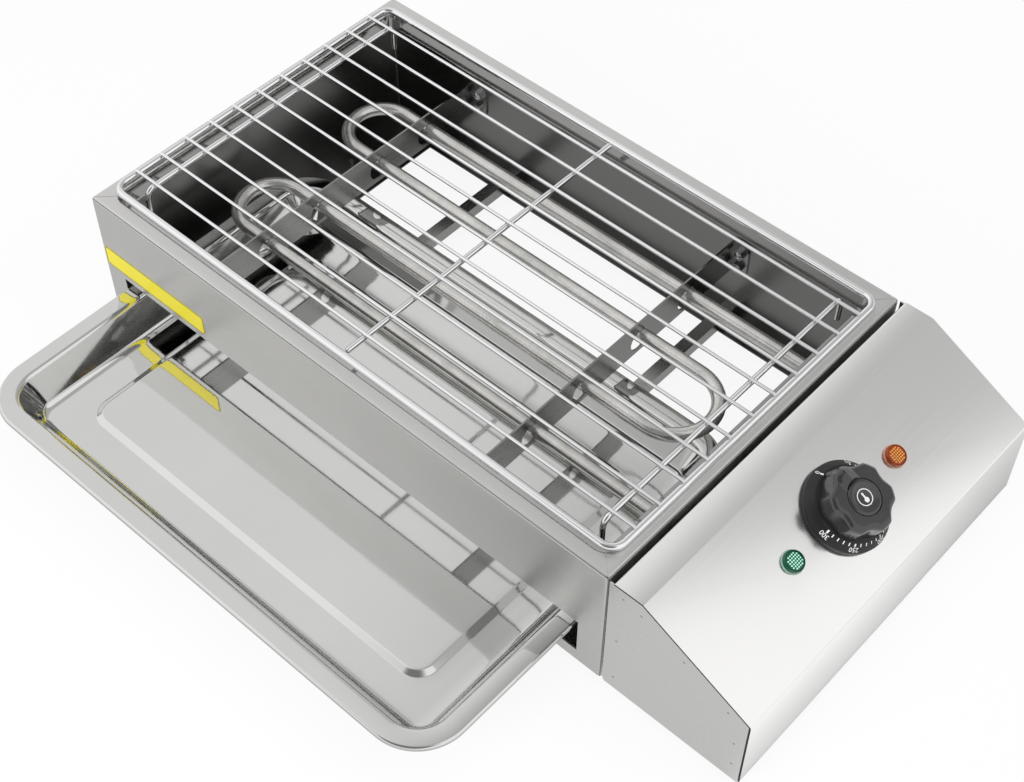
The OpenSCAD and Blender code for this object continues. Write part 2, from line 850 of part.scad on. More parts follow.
// Holes through the slope for the thermostat's neck, its screws and the lamps
module slope_holes() {
    on_slope(dial_s, dial_y) translate([0, 0, -sheet_t - cut]) {
        cylinder(d = neck_hole_d, h = sheet_t + 2*cut, $fn = fn_mid);
        for (side = [-1, 1]) translate([0, side*stat_pitch/2, 0])
            cylinder(d = screw_hole_d, h = sheet_t + 2*cut, $fn = fn_small);
    }
    lamp_places() translate([0, 0, -sheet_t - cut])
        cylinder(d = lamp_hole_d, h = sheet_t + 2*cut, $fn = fn_mid);
}

// Welding tab under the slope, inside a side panel
module cover_tab() {
    linear_extrude(sheet_t) polygon([
        moved_point([[box_reach, 0], [box_reach, nose_h], [crease_x, housing_h]], 1, sheet_t),
        moved_point([[box_reach, nose_h], [crease_x, housing_h], [box_gap, housing_h]], 1, sheet_t),
        moved_point([[box_reach, nose_h], [crease_x, housing_h], [box_gap, housing_h]], 1, cover_tab_w),
        moved_point([[box_reach, 0], [box_reach, nose_h], [crease_x, housing_h]], 1, cover_tab_w)
    ]);
}

module control_cover() {
    color(steel) in_place() difference() {
        translate([housing_l, 0, 0]) {
            translate([0, housing_w, 0]) rotate([90, 0, 0]) linear_extrude(housing_w)
                polygon(strip(cover_line, -sheet_t));
            for (y = [side_inset + sheet_t, housing_w - side_inset])
                translate([0, y, 0]) rotate([90, 0, 0]) cover_tab();
        }
        slope_holes();
        for (y = [base_screw_y, housing_w - base_screw_y])
            translate([box_end - cover_flange_w/2, y, 0])
                cylinder(d = screw_hole_d, h = 2*(sheet_t + base_gap), $fn = fn_small);
        cover_trims();
    }
}

// Cuts the cover's bottom flange and its back lip clear of the two side panels
module cover_trims() {
    flange_top = crease_r + base_gap + sheet_t;
    for (y = [-cut, housing_w - side_inset]) translate([0, y, 0]) {
        translate([box_end - cover_flange_w - cut, 0, 0])
            cube([cover_flange_w + cut - side_inset + seam_gap, side_inset + cut, flange_top]);
        translate([housing_l + cover_start - cut, 0, housing_h - cover_lip_h - cut])
            cube([crease_r + cut, side_inset + cut, cover_lip_h - side_inset + seam_gap/2 + cut]);
    }
}

module side_panel() {
    translate([housing_l, 0, 0]) rotate([90, 0, 0]) linear_extrude(sheet_t) polygon(side_outline);
}

module control_side_front() {
    color(steel) in_place() translate([0, sheet_t, 0]) side_panel();
}

module control_side_back() {
    color(steel) in_place() difference() {
        translate([0, housing_w, 0]) side_panel();
        translate([housing_l + gland_x, housing_w + cut, gland_z]) rotate([90, 0, 0])
            cylinder(d = gland_hole_d, h = sheet_t + 2*cut, $fn = fn_mid);
    }
}

// Outer line of the back plate, from its bottom flange up
plate_line = folded([
    [box_gap + plate_flange_w, sheet_t + base_gap],
    [box_gap, sheet_t + base_gap],
    [box_gap, plate_top]
], crease_r, 4);

module control_back_plate() {
    inner_w = housing_w - 2*side_inset;
    color(steel_dark) in_place() difference() {
        translate([housing_l, 0, 0]) {
            translate([0, housing_w - side_inset, 0]) rotate([90, 0, 0]) linear_extrude(inner_w)
                polygon(strip(plate_line, -sheet_t));
            for (y = [side_inset, housing_w - side_inset - sheet_t])
                translate([box_gap, y, plate_side_z])
                    cube([plate_side_w, sheet_t, plate_top - plate_side_z]);
        }
        element_ends(box_start - cut) cylinder(d = plate_hole_d, h = sheet_t + 2*cut, $fn = fn_mid);
        spacer_places() translate([box_gap - cut, 0, 0]) rotate([0, 90, 0])
            cylinder(d = screw_hole_d, h = sheet_t + 2*cut, $fn = fn_small);
        translate([box_start - cut, window_y, window_z]) cube([sheet_t + 2*cut, window_l, window_h]);
        for (y = [base_screw_y, housing_w - base_screw_y])
            translate([box_start + base_screw_x, y, 0])
                cylinder(d = screw_hole_d, h = 2*(sheet_t + base_gap), $fn = fn_small);
    }
}

module control_base() {
    base_x = box_start + base_back;
    color(steel_dark) in_place() difference() {
        translate([base_x, side_inset, 0])
            cube([box_end - side_inset - base_x, housing_w - 2*side_inset, sheet_t]);
        for (y = [foot_y, housing_w - foot_y]) translate([housing_l + foot_right_x, y, -cut])
            cylinder(d = foot_hole_d, h = sheet_t + 2*cut, $fn = fn_small);
        base_screw_places() translate([0, 0, -cut])
            cylinder(d = screw_hole_d, h = sheet_t + 2*cut, $fn = fn_small);
        for (i = [0:vent_count - 1])
            translate([box_start + vent_x, dial_y + (i - (vent_count - 1)/2)*vent_pitch - vent_w/2, -cut])
                round_plate(vent_l, vent_w, vent_w/2 - run_gap, sheet_t + 2*cut);
        translate([housing_l + earth_x, earth_y, -cut])
            cylinder(d = earth_d + 2*run_gap, h = sheet_t + 2*cut, $fn = fn_small);
    }
}

// Repeats a piece at the four base screws
module base_screw_places() {
    for (x = [box_start + base_screw_x, box_end - cover_flange_w/2],
         y = [base_screw_y, housing_w - base_screw_y])
        translate([x, y, 0]) children();
}

// Repeats a piece at the four spacers, on the fire box's right face
module spacer_places() {
    for (y = [spacer_y, housing_w - spacer_y], z = [spacer_low_z, spacer_high_z])
        translate([housing_l, y, z]) children();
}

module box_spacers() {
    color(zinc) in_place() spacer_places() rotate([0, 90, 0]) difference() {
        cylinder(d = spacer_d, h = box_gap, $fn = fn_small);
        translate([0, 0, -cut]) cylinder(d = screw_hole_d, h = box_gap + 2*cut, $fn = fn_small);
    }
}

module box_screws() {
    color(zinc) in_place() spacer_places() translate([-sheet_t, 0, 0]) rotate([0, -90, 0])
        pan_screw(screw_d, sheet_t + box_gap + sheet_t + nut_h, head_d, head_h);
}

module box_nuts() {
    color(zinc) in_place() spacer_places() translate([box_gap + sheet_t, 0, 0]) rotate([0, 90, 0])
        hex_nut(nut_af, nut_h, screw_d + 2*run_gap);
}

module base_screws() {
    color(zinc) in_place() base_screw_places() rotate([180, 0, 0])
        pan_screw(screw_d, 2*(sheet_t + base_gap) + cut, head_d, head_h);
}

module thermostat_body() {
    color(zinc) in_place() on_slope(dial_s, dial_y) difference() {
        union() {
            translate([-bridge_w/2, -bridge_l/2, -sheet_t - bridge_t]) cube([bridge_w, bridge_l, bridge_t]);
            translate([-stat_w/2, -stat_l/2, -sheet_t - bridge_t - stat_h]) cube([stat_w, stat_l, stat_h]);
            translate([0, 0, -sheet_t]) cylinder(d = neck_d, h = sheet_t + scale_t, $fn = fn_mid);
        }
        translate([0, 0, -shaft_depth])
            cylinder(d = shaft_d + 2*run_gap, h = shaft_depth + scale_t + cut, $fn = fn_mid);
        for (side = [-1, 1]) translate([0, side*stat_pitch/2, -sheet_t - bridge_t - shaft_depth])
            cylinder(d = screw_d + 2*run_gap, h = bridge_t + shaft_depth + cut, $fn = fn_small);
    }
}

module thermostat_screws() {
    color(zinc) in_place() for (side = [-1, 1]) on_slope(dial_s, dial_y + side*stat_pitch/2)
        pan_screw(screw_d, sheet_t + bridge_t + shaft_depth/2, stat_head_d, stat_head_h);
}

module dial_scale() {
    scale_r = scale_d/2;
    top_r = scale_top_d/2;
    color(black) in_place() on_slope(dial_s, dial_y) difference() {
        rotate_extrude($fn = fn_large) polygon(concat(
            [[0, 0], [scale_r, 0]],
            fold([scale_r, 0], [scale_r, scale_rim_h], [top_r, scale_t], scale_bend_r, 4),
            fold([scale_r, scale_rim_h], [top_r, scale_t], [0, scale_t], scale_bend_r, 4),
            [[0, scale_t]]
        ));
        translate([0, 0, -cut]) cylinder(d = neck_hole_d, h = scale_t + 2*cut, $fn = fn_mid);
        for (side = [-1, 1]) translate([0, side*stat_pitch/2, -cut])
            cylinder(d = stat_head_d + seam_gap, h = stat_head_h + seam_gap + cut, $fn = fn_small);
    }
}

// Half section of the knob's solid body before its lobes are cut
module knob_section() {
    polygon(concat(
        [[0, 0], [knob_d/2, 0]],
        fold([knob_d/2, 0], [crown_d/2, knob_h], [0, knob_h], knob_top_r, 6),
        [[0, knob_h]]
    ));
}

module knob_grip() {
    lobe = 360/lobe_count;
    inner_h = knob_h - cap_recess - knob_wall;
    hollow_d = crown_d - 4*knob_wall - scallop_bite;
    bore_h = shaft_rise + cut;
    color(black) in_place() on_slope(dial_s, dial_y) translate([0, 0, knob_z]) difference() {
        union() {
            difference() {
                rotate_extrude($fn = fn_large) knob_section();
                for (i = [0:lobe_count - 1]) rotate(180 + lobe/2 + i*lobe)
                    translate([knob_d/2 + scallop_r - scallop_bite, 0, -cut]) rotate([0, -scallop_tilt, 0])
                        cylinder(r = scallop_r, h = knob_h + 4*cut, $fn = fn_mid);
            }
            knob_pointer();
        }
        translate([0, 0, knob_h - cap_recess])
            cylinder(d = cap_d + 2*run_gap, h = cap_recess + cut, $fn = fn_mid);
        difference() {
            translate([0, 0, -cut]) cylinder(d = hollow_d, h = inner_h + cut, $fn = fn_mid);
            cylinder(d = boss_d, h = inner_h, $fn = fn_mid);
        }
        translate([0, 0, -cut]) difference() {
            cylinder(d = shaft_d + 2*run_gap, h = bore_h, $fn = fn_mid);
            translate([shaft_d/2 - shaft_flat + run_gap, -shaft_d, 0]) cube([shaft_d, 2*shaft_d, bore_h]);
        }
    }
}

// Pointed ridge of the grip, on the side of the scale's zero
module knob_pointer() {
    tip = knob_d/2 + pointer_reach;
    intersection() {
        linear_extrude(knob_h) polygon([
            [-tip, 0], [-tip + pointer_w/2, pointer_w/2], [-cap_d/2, pointer_w/2],
            [-cap_d/2, -pointer_w/2], [-tip + pointer_w/2, -pointer_w/2]
        ]);
        cylinder(r1 = tip, r2 = tip - pointer_lean, h = knob_h, $fn = fn_large);
    }
}

module knob_cap() {
    color(black) in_place() on_slope(dial_s, dial_y) translate([0, 0, knob_z + knob_h - cap_recess])
        rotate_extrude($fn = fn_mid) polygon(concat(
            [[0, 0], [cap_d/2, 0]],
            fold([cap_d/2, 0], [cap_d/2, cap_recess + cap_rise], [0, cap_recess + cap_rise], cap_rise, 5),
            [[0, cap_recess + cap_rise]]
        ));
}

module thermostat_shaft() {
    color(zinc) in_place() on_slope(dial_s, dial_y) translate([0, 0, -shaft_depth + run_gap]) difference() {
        cylinder(d = shaft_d, h = shaft_depth + knob_z + shaft_rise - 2*run_gap, $fn = fn_mid);
        translate([shaft_d/2 - shaft_flat, -shaft_d, shaft_depth + knob_z])
            cube([shaft_d, 2*shaft_d, shaft_rise + cut]);
    }
}

// Bottom centre of the thermostat's case, in the fire box's frame
stat_drop = sheet_t + bridge_t + stat_h;
stat_foot = [
    housing_l + crease_x + dial_s*cos(slope_angle) - stat_drop*sin(slope_angle),
    dial_y,
    housing_h - dial_s*sin(slope_angle) - stat_drop*cos(slope_angle)
];
slope_down = [cos(slope_angle), 0, -sin(slope_angle)];
slope_out = [sin(slope_angle), 0, cos(slope_angle)];
bulb_x = housing_l + bulb_d/2 + run_gap;

module capillary_tube() {
    stat_end = stat_foot + [0, -stat_l/4, 0] - stat_w/4*slope_down;
    color(brass) in_place()
        bent_wire(stat_end, -capillary_pull*slope_out, [bulb_x, bulb_y + bulb_l, bulb_z],
                  [0, capillary_pull/2, 0], capillary_d);
}

module sensing_bulb() {
    color(brass) in_place() translate([bulb_x, bulb_y, bulb_z]) rotate([-90, 0, 0]) {
        cylinder(d = bulb_d, h = bulb_l, $fn = fn_small);
        sphere(d = bulb_d, $fn = fn_small);
    }
}

module bulb_clips() {
    clip_d = bulb_d + 2*run_gap;
    color(steel_dark) in_place() for (share = [0.2, 0.8])
        translate([housing_l, bulb_y + share*bulb_l + clip_w/2, bulb_z])
        rotate([90, 0, 0]) linear_extrude(clip_w) {
            difference() {
                union() {
                    translate([bulb_d/2 + run_gap, 0]) circle(d = clip_d + 2*clip_t, $fn = fn_mid);
                    translate([0, -clip_d/2 - clip_t]) square([bulb_d/2, clip_d + 2*clip_t]);
                }
                translate([bulb_d/2 + run_gap, 0]) circle(d = clip_d, $fn = fn_mid);
                translate([0, -clip_d/2]) square([bulb_d/2 + run_gap, clip_d]);
                translate([-bulb_d, -bulb_d]) square([bulb_d, 2*bulb_d]);
            }
            for (side = [-1, 1]) translate([0, side*(clip_d/2 + clip_foot/2) - clip_foot/2])
                square([clip_t, clip_foot]);
        }
}

module terminal_block() {
    color(white) in_place() translate([housing_l + block_x, block_y, sheet_t]) difference() {
        union() {
            cube([block_w, block_l, block_h - pole_h]);
            for (i = [-1:1]) translate([block_w/2 - pole_w/2, block_l/2 + i*pole_pitch - pole_l/2, 0])
                cube([pole_w, pole_l, block_h]);
        }
        for (side = [-1, 1]) translate([block_w/2, block_l/2 + side*pole_pitch/2, -cut])
            cylinder(d = terminal_d, h = block_h, $fn = fn_small);
    }
}

module block_screws() {
    color(zinc) in_place() for (side = [-1, 1])
        translate([housing_l + block_x + block_w/2, block_y + block_l/2 + side*pole_pitch/2, sheet_t])
            cylinder(d = terminal_d - 2*run_gap, h = block_h - pole_h, $fn = fn_small);
}

// Leads inside the control box: element, thermostat and earth
module wiring() {
    pole_top = sheet_t + block_h;
    pole_x = housing_l + block_x + block_w/2;
    pole_ys = [for (i = [-1:1]) block_y + block_l/2 + i*pole_pitch];
    stud_tip = housing_l + element_reach + insulator_l + terminal_l;
    up = [0, 0, lead_pull];
    color(black) in_place() {
        bent_wire([pole_x, pole_ys[1], pole_top], up,
                  [stud_tip, end_ys[1], tube_z], [lead_pull, 0, 0], lead_d);
        bent_wire([pole_x - lead_d, pole_ys[0], pole_top], up,
                  stat_foot + [0, stat_l/4, 0], -lead_pull*slope_out, lead_d);
        bent_wire(stat_foot + stat_w/4*slope_down, -2*lead_pull*slope_out,
                  [stud_tip, end_ys[0], tube_z], [lead_pull, 0, 0], lead_d);
        bent_wire([pole_x, pole_ys[2], pole_top], up/2,
                  [housing_l + earth_x, earth_y, sheet_t + earth_h], up/2, lead_d);
    }
}

// Repeats a piece at both lamps
module lamp_places() {
    for (side = [-1, 1]) lamp_place(side) children();
}

module lamp_place(side) {
    on_slope(dial_s, dial_y + side*lamp_offset) children();
}

// Coloured rim with the hollow neck that passes through the slope
module lamp_bezel() {
    difference() {
        union() {
            rotate_extrude($fn = fn_mid) polygon(concat(
                [[0, 0], [lamp_d/2, 0]],
                fold([lamp_d/2, 0], [lamp_d/2, lamp_rise], [0, lamp_rise], lamp_rise/4, 4),
                [[0, lamp_rise]]
            ));
            translate([0, 0, -lamp_neck_l]) cylinder(d = lamp_neck_d, h = lamp_neck_l, $fn = fn_mid);
        }
        translate([0, 0, lamp_rise - lens_sink])
            cylinder(d = lens_d + 2*lens_gap, h = lens_sink + cut, $fn = fn_mid);
    }
}

// Low dome with a lattice of shallow grooves
module lamp_lens() {
    dome_r = (pow(lens_d/2, 2) + pow(lens_rise, 2))/(2*lens_rise);
    groove_z = lens_sink + lens_rise/2 - lattice_depth;
    translate([0, 0, lamp_rise - lens_sink]) difference() {
        intersection() {
            cylinder(d = lens_d, h = lens_sink + lens_rise, $fn = fn_mid);
            translate([0, 0, lens_sink + lens_rise - dome_r]) sphere(dome_r, $fn = fn_large);
        }
        for (turn = [45, -45], i = [-(lattice_count - 1)/2:(lattice_count - 1)/2]) rotate(turn)
            translate([-lens_d, i*lattice_pitch - lattice_w/2, groove_z])
                cube([2*lens_d, lattice_w, lens_rise + lattice_depth + cut]);
    }
}

module lamp_green_bezel() {
    color(green) in_place() lamp_place(-1) lamp_bezel();
}

module lamp_green_lens() {
    color(green) in_place() lamp_place(-1) lamp_lens();
}

module lamp_amber_bezel() {
    color(amber) in_place() lamp_place(1) lamp_bezel();
}

module lamp_amber_lens() {
    color(amber) in_place() lamp_place(1) lamp_lens();
}

module lamp_bodies() {
    color(white) in_place() lamp_places() translate([0, 0, -lamp_neck_l - lamp_can_l]) {
        cylinder(d = lamp_can_d, h = lamp_can_l, $fn = fn_mid);
        for (side = [-1, 1]) translate([side*lamp_can_d/4 - sheet_t/2, -blade_w/2, -blade_l])
            cube([sheet_t, blade_w, blade_l]);
    }
}

module lamp_nuts() {
    color(zinc) in_place() lamp_places() translate([0, 0, -sheet_t - lamp_nut_t])
        hex_nut(lamp_nut_af, lamp_nut_t, lamp_neck_d + 2*run_gap);
}

module earth_stud() {
    color(zinc) in_place() translate([housing_l + earth_x, earth_y, 0])
        cylinder(d = earth_d, h = sheet_t + earth_h, $fn = fn_small);
}

module earth_nuts() {
    color(brass) in_place() translate([housing_l + earth_x, earth_y, sheet_t])
        for (z = [0, earth_nut_h + seam_gap]) translate([0, 0, z])
            hex_nut(earth_af, earth_nut_h, earth_d + 2*run_gap);
}

// Places the gland, with Z pointing out of the back panel
module gland_place() {
    translate([housing_l + gland_x, housing_w, gland_z]) rotate([-90, 0, 0]) children();
}

module cable_gland() {
    reach = gland_head_l + gland_dome_l;
    color(black) in_place() gland_place() difference() {
        union() {
            cylinder(d = gland_head_d/cos(30), h = gland_head_l, $fn = 6);
            translate([0, 0, gland_head_l])
                cylinder(d1 = gland_head_d, d2 = gland_dome_d, h = gland_dome_l, $fn = fn_mid);
            translate([0, 0, -gland_inside_l]) cylinder(d = gland_neck_d, h = gland_inside_l, $fn = fn_mid);
        }
        translate([0, 0, -gland_inside_l - cut])
            cylinder(d = gland_bore_d, h = gland_inside_l + reach + 2*cut, $fn = fn_mid);
    }
}

module gland_nut() {
    color(black) in_place() gland_place() translate([0, 0, -sheet_t - gland_nut_t])
        hex_nut(gland_nut_af, gland_nut_t, gland_neck_d + 2*run_gap);
}

// Repeats a piece at the four feet
module foot_places() {
    for (x = [foot_left_x, housing_l + foot_right_x], y = [foot_y, housing_w - foot_y])
        translate([x, y, 0]) children();
}

module feet() {
    color(black) in_place() foot_places() difference() {
        translate([0, 0, -foot_h]) cylinder(d1 = foot_tip_d, d2 = foot_d, h = foot_h, $fn = fn_mid);
        translate([0, 0, -foot_h - cut]) cylinder(d = foot_sink_d, h = foot_sink_h + cut, $fn = fn_small);
        translate([0, 0, -foot_h]) cylinder(d = foot_hole_d, h = foot_h + cut, $fn = fn_small);
    }
}

module foot_screws() {
    color(zinc) in_place() foot_places() translate([0, 0, foot_sink_h - foot_h]) rotate([180, 0, 0])
        pan_screw(screw_d, foot_h - foot_sink_h + sheet_t + foot_screw_up, head_d, head_h);
}

housing_shell();
rail_left();
rail_right();
support_left();
support_right();
support_studs();
support_nuts();
heating_element();
element_bushings();
element_nuts();
terminal_insulators();
terminal_studs();
water_label();
grate_frame();
grate_wires();
grate_cross_rods();
drip_tray();
control_cover();
control_side_front();
control_side_back();
control_back_plate();
control_base();
box_spacers();
box_screws();
box_nuts();
base_screws();
thermostat_body();
thermostat_screws();
thermostat_shaft();
dial_scale();
knob_grip();
knob_cap();
capillary_tube();
sensing_bulb();
bulb_clips();
terminal_block();
block_screws();
wiring();
lamp_green_bezel();
lamp_green_lens();
lamp_amber_bezel();
lamp_amber_lens();
lamp_bodies();
lamp_nuts();
earth_stud();
earth_nuts();
cable_gland();
gland_nut();
feet();
foot_screws();
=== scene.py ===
"""Looks of an electric table roaster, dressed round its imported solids.

The roaster is an open stainless steel fire box with a heating element, a wire grate that lifts
off, a mirror-polished water tray that pulls out and a sloping control box with a dial and two
lamps. Sizes are in metres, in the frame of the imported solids.
"""
import json
import logging
import math
from dataclasses import dataclass
from enum import Enum
from functools import cache
from typing import Callable, Sequence

import bmesh
import bpy
from mathutils import Matrix, Vector


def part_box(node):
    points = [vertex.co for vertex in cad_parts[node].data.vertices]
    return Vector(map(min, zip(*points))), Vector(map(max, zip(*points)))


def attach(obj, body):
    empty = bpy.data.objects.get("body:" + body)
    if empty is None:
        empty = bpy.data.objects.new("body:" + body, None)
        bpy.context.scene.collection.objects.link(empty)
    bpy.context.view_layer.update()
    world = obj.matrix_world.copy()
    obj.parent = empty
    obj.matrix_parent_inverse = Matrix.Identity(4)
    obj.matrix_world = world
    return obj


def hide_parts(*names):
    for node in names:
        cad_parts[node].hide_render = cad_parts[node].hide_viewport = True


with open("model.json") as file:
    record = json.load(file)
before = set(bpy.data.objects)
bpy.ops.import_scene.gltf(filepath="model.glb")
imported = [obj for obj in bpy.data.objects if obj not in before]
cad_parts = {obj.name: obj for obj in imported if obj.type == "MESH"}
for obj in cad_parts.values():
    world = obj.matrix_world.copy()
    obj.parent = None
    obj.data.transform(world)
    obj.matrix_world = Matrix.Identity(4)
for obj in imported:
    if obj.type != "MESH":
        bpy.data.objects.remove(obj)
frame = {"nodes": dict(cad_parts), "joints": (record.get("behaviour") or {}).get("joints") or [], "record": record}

log = logging.getLogger("roaster")
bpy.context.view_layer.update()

Color = tuple[float, float, float]
Flat = tuple[float, float]
Fade = tuple[float, float, float, float]  # start, end, brightness before and after
Path = list[Vector]
Ring = list[bmesh.types.BMVert]
Material = bpy.types.Material
Piece = bpy.types.Object
Shape = bmesh.types.BMesh
Socket = bpy.types.NodeSocket
Tree = bpy.types.NodeTree

NODES = frame["nodes"]
FLOAT, VECTOR = "NodeSocketFloat", "NodeSocketVector"
WHITE = (1.0, 1.0, 1.0, 1.0)
MIX_FACTOR, MIX_A, MIX_B, MIX_RESULT = 0, 6, 7, 2  # sockets of a colour mix
NOISE_RANGE = (0.3, 0.7)  # holds most of a noise's values
SHEET_RELIEF, SPECK_RELIEF = 0.0002, 0.0001
WELD_DISTANCE = 2e-6
NOSE_LENGTH, NOSE_WIDTH = 0.35, 0.7  # soft end of a rod, in radii


class Axis(Enum):
    """Direction of the brushing on a sheet, as a stretch of its noise."""

    ALONG_X = (0.02, 1.0, 1.0)
    ALONG_Y = (1.0, 0.02, 1.0)
    ALONG_SLOPE = (1.0, 0.012, 1.0)
    NONE = (1.0, 1.0, 1.0)


class Body(Enum):
    """Rigid bodies of the roaster."""

    ROOT = "root"
    GRATE = "grate"
    TRAY = "tray"
    KNOB = "knob"


class Graph:
    """Adds and links the nodes of one node tree."""

    def __init__(self, tree: Tree) -> None:
        """Keeps the tree that the nodes go into."""
        self.tree = tree

    def feed(self, socket: Socket, value: object) -> None:
        """Links a socket to an output, or sets its value.

        Args:
            socket: the input socket.
            value: an output socket, or a plain value.
        """
        if isinstance(value, Socket):
            self.tree.links.new(value, socket)
        else:
            socket.default_value = value

    def add(self, kind: str, values: dict | None = None, **settings: object) -> bpy.types.Node:
        """Adds a node.

        Args:
            kind: the node's type name.
            values: values or sockets for the node's inputs, by name or number.
            settings: properties of the node.

        Returns:
            The new node.
        """
        node = self.tree.nodes.new(kind)
        for key, value in settings.items():
            setattr(node, key, value)
        for key, value in (values or {}).items():
            self.feed(node.inputs[key], value)
        return node

    def calculate(self, operation: str, first: Socket, second: Socket | float) -> Socket:
        """Adds a calculation with two numbers and gives its result."""
        return self.add("ShaderNodeMath", {0: first, 1: second}, operation=operation).outputs[0]

    def along(self, way: Socket, direction: Sequence[float]) -> Socket:
        """Adds the dot product of a ray's direction and a fixed one."""
        dot = self.add("ShaderNodeVectorMath", {0: way, 1: direction}, operation="DOT_PRODUCT")
        return dot.outputs["Value"]

    def step(self, value: Socket, *limits: object, kind: str = "SMOOTHSTEP") -> Socket:
        """Adds a change, given by its start, its end, the result before it and the result after it."""
        values = dict(zip(("Value", "From Min", "From Max", "To Min", "To Max"), (value, *limits)))
        return self.add("ShaderNodeMapRange", values, interpolation_type=kind).outputs["Result"]


def new_group(name: str, kind: str, inputs: dict[str, str], outputs: dict[str, str]) -> tuple:
    """Makes an empty node group with named sockets.

    Args:
        name: the group's name.
        kind: the tree's type name.
        inputs: socket types by input name.
        outputs: socket types by output name.

    Returns:
        The tree, its graph, the sockets of its inputs and the sockets of its outputs.
    """
    tree = bpy.data.node_groups.new(name, kind)
    for way, sockets in (("INPUT", inputs), ("OUTPUT", outputs)):
        for label, socket in sockets.items():
            tree.interface.new_socket(label, in_out=way, socket_type=socket)
    graph = Graph(tree)
    return tree, graph, graph.add("NodeGroupInput").outputs, graph.add("NodeGroupOutput").inputs


def noise_group(name: str, inputs: dict[str, str], noises: dict[str, dict]) -> Tree:
    """Builds a shader group that draws noises.

    Args:
        name: the group's name.
        inputs: socket types by input name.
        noises: values of each output's noise; an input's name stands for the input.

    Returns:
        The shader node group.
    """
    tree, graph, given, made = new_group(name, "ShaderNodeTree", inputs, dict.fromkeys(noises, FLOAT))
    for label, values in noises.items():
        values = {key: given[value] if value in inputs else value for key, value in values.items()}
        graph.feed(made[label], graph.add("ShaderNodeTexNoise", values).outputs["Fac"])
    return tree


BRUSHED = noise_group(
    "brushed_sheet",
    {"Stretched": VECTOR, "Coordinates": VECTOR, "Fineness": FLOAT},
    {
        "Lines": {"Vector": "Stretched", "Scale": "Fineness", "Detail": 3.0},
        "Clouds": {"Vector": "Coordinates", "Scale": 9.0, "Detail": 2.0, "Distortion": 0.6},
    },
)
HANDLING = noise_group(
    "handling_marks",
    {"Coordinates": VECTOR, "Smudge Scale": FLOAT, "Speck Scale": FLOAT},
    {
        "Smudges": {"Vector": "Coordinates", "Scale": "Smudge Scale", "Detail": 4.0, "Roughness": 0.55},
        "Specks": {"Vector": "Coordinates", "Scale": "Speck Scale", "Detail": 2.0},
    },
)


class MaterialMaker:
    """Material with its coordinates, its shader and the helpers that finishes share."""

    def __init__(self, name: str) -> None:
        """Starts the material.

        Args:
            name: the material's name.
        """
        self.material = bpy.data.materials.new(name)
        self.material.use_nodes = True
        self.graph = Graph(self.material.node_tree)
        self.shader = self.material.node_tree.nodes["Principled BSDF"]
        self.coordinates = self.graph.add("ShaderNodeTexCoord").outputs["Object"]

    def marks(self, *scales: float) -> tuple[Socket, Socket]:
        """Adds the marks of use at the scales of the smudges and specks, and gives both."""
        values = dict(zip(("Coordinates", "Smudge Scale", "Speck Scale"), (self.coordinates, *scales)))
        return tuple(self.graph.add("ShaderNodeGroup", values, node_tree=HANDLING).outputs)

    def spread(self, noise: Socket, low: float, high: float) -> Socket:
        """Maps a noise to the range from low to high."""
        return self.graph.step(noise, *NOISE_RANGE, low, high, kind="LINEAR")

    def around(self, noise: Socket, middle: float, reach: float) -> Socket:
        """Maps a noise to a range that reaches to both sides of a middle."""
        return self.spread(noise, middle - reach, middle + reach)

    def blend(self, noise: Socket, dark: Color, light: Color) -> Socket:
        """Mixes two colours by a noise, from dark to light."""
        values = {MIX_FACTOR: self.spread(noise, 0.0, 1.0), MIX_A: (*dark, 1.0), MIX_B: (*light, 1.0)}
        return self.graph.add("ShaderNodeMix", values, data_type="RGBA").outputs[MIX_RESULT]

    def tint(self, noise: Socket, tone: Color, reach: float) -> Socket:
        """Varies a colour's brightness by a noise, to both sides."""
        return self.blend(noise, shade(tone, 1 - reach), shade(tone, 1 + reach))

    def finish(self, height: Socket, strength: float | None, depth: float, **values: object) -> Material:
        """Sets the shader's inputs and its relief.

        Args:
            height: height socket of the relief.
            strength: strength of the relief; None leaves it out.
            depth: depth of the relief.
            values: shader inputs; underscores in their names stand for spaces.

        Returns:
            The material.
        """
        for key, value in values.items():
            self.graph.feed(self.shader.inputs[key.replace("_", " ")], value)
        if strength is not None:
            bump = {"Height": height, "Strength": strength, "Distance": depth}
            relief = self.graph.add("ShaderNodeBump", bump).outputs["Normal"]
            self.graph.feed(self.shader.inputs["Normal"], relief)
        return self.material


def shade(color: Color, factor: float) -> Color:
    """Scales a colour's three parts by one factor."""
    return tuple(part * factor for part in color)


@dataclass(frozen=True)
class SheetSteel:
    """Rolled or brushed sheet steel."""

    name: str
    tone: Color
    roughness: float
    grain: Axis
    fineness: float = 900.0
    relief: float = 0.06
    tone_spread: float = 0.05
    gloss_spread: float = 0.05

    def build(self) -> Material:
        """Makes the material.

        Returns:
            The new material.
        """
        maker = MaterialMaker(self.name)
        graph, place = maker.graph, maker.coordinates
        grain = graph.add("ShaderNodeVectorMath", {0: place, 1: self.grain.value}, operation="MULTIPLY")
        values = {"Stretched": grain.outputs[0], "Coordinates": place, "Fineness": self.fineness}
        made = graph.add("ShaderNodeGroup", values, node_tree=BRUSHED).outputs
        lines = made["Lines"]
        mean = graph.calculate("MULTIPLY", graph.calculate("ADD", lines, made["Clouds"]), 0.5)
        return maker.finish(
            lines, self.relief, SHEET_RELIEF,
            Base_Color=maker.tint(mean, self.tone, self.tone_spread),
            Roughness=maker.around(lines, self.roughness, self.gloss_spread),
            Metallic=1.0,
        )


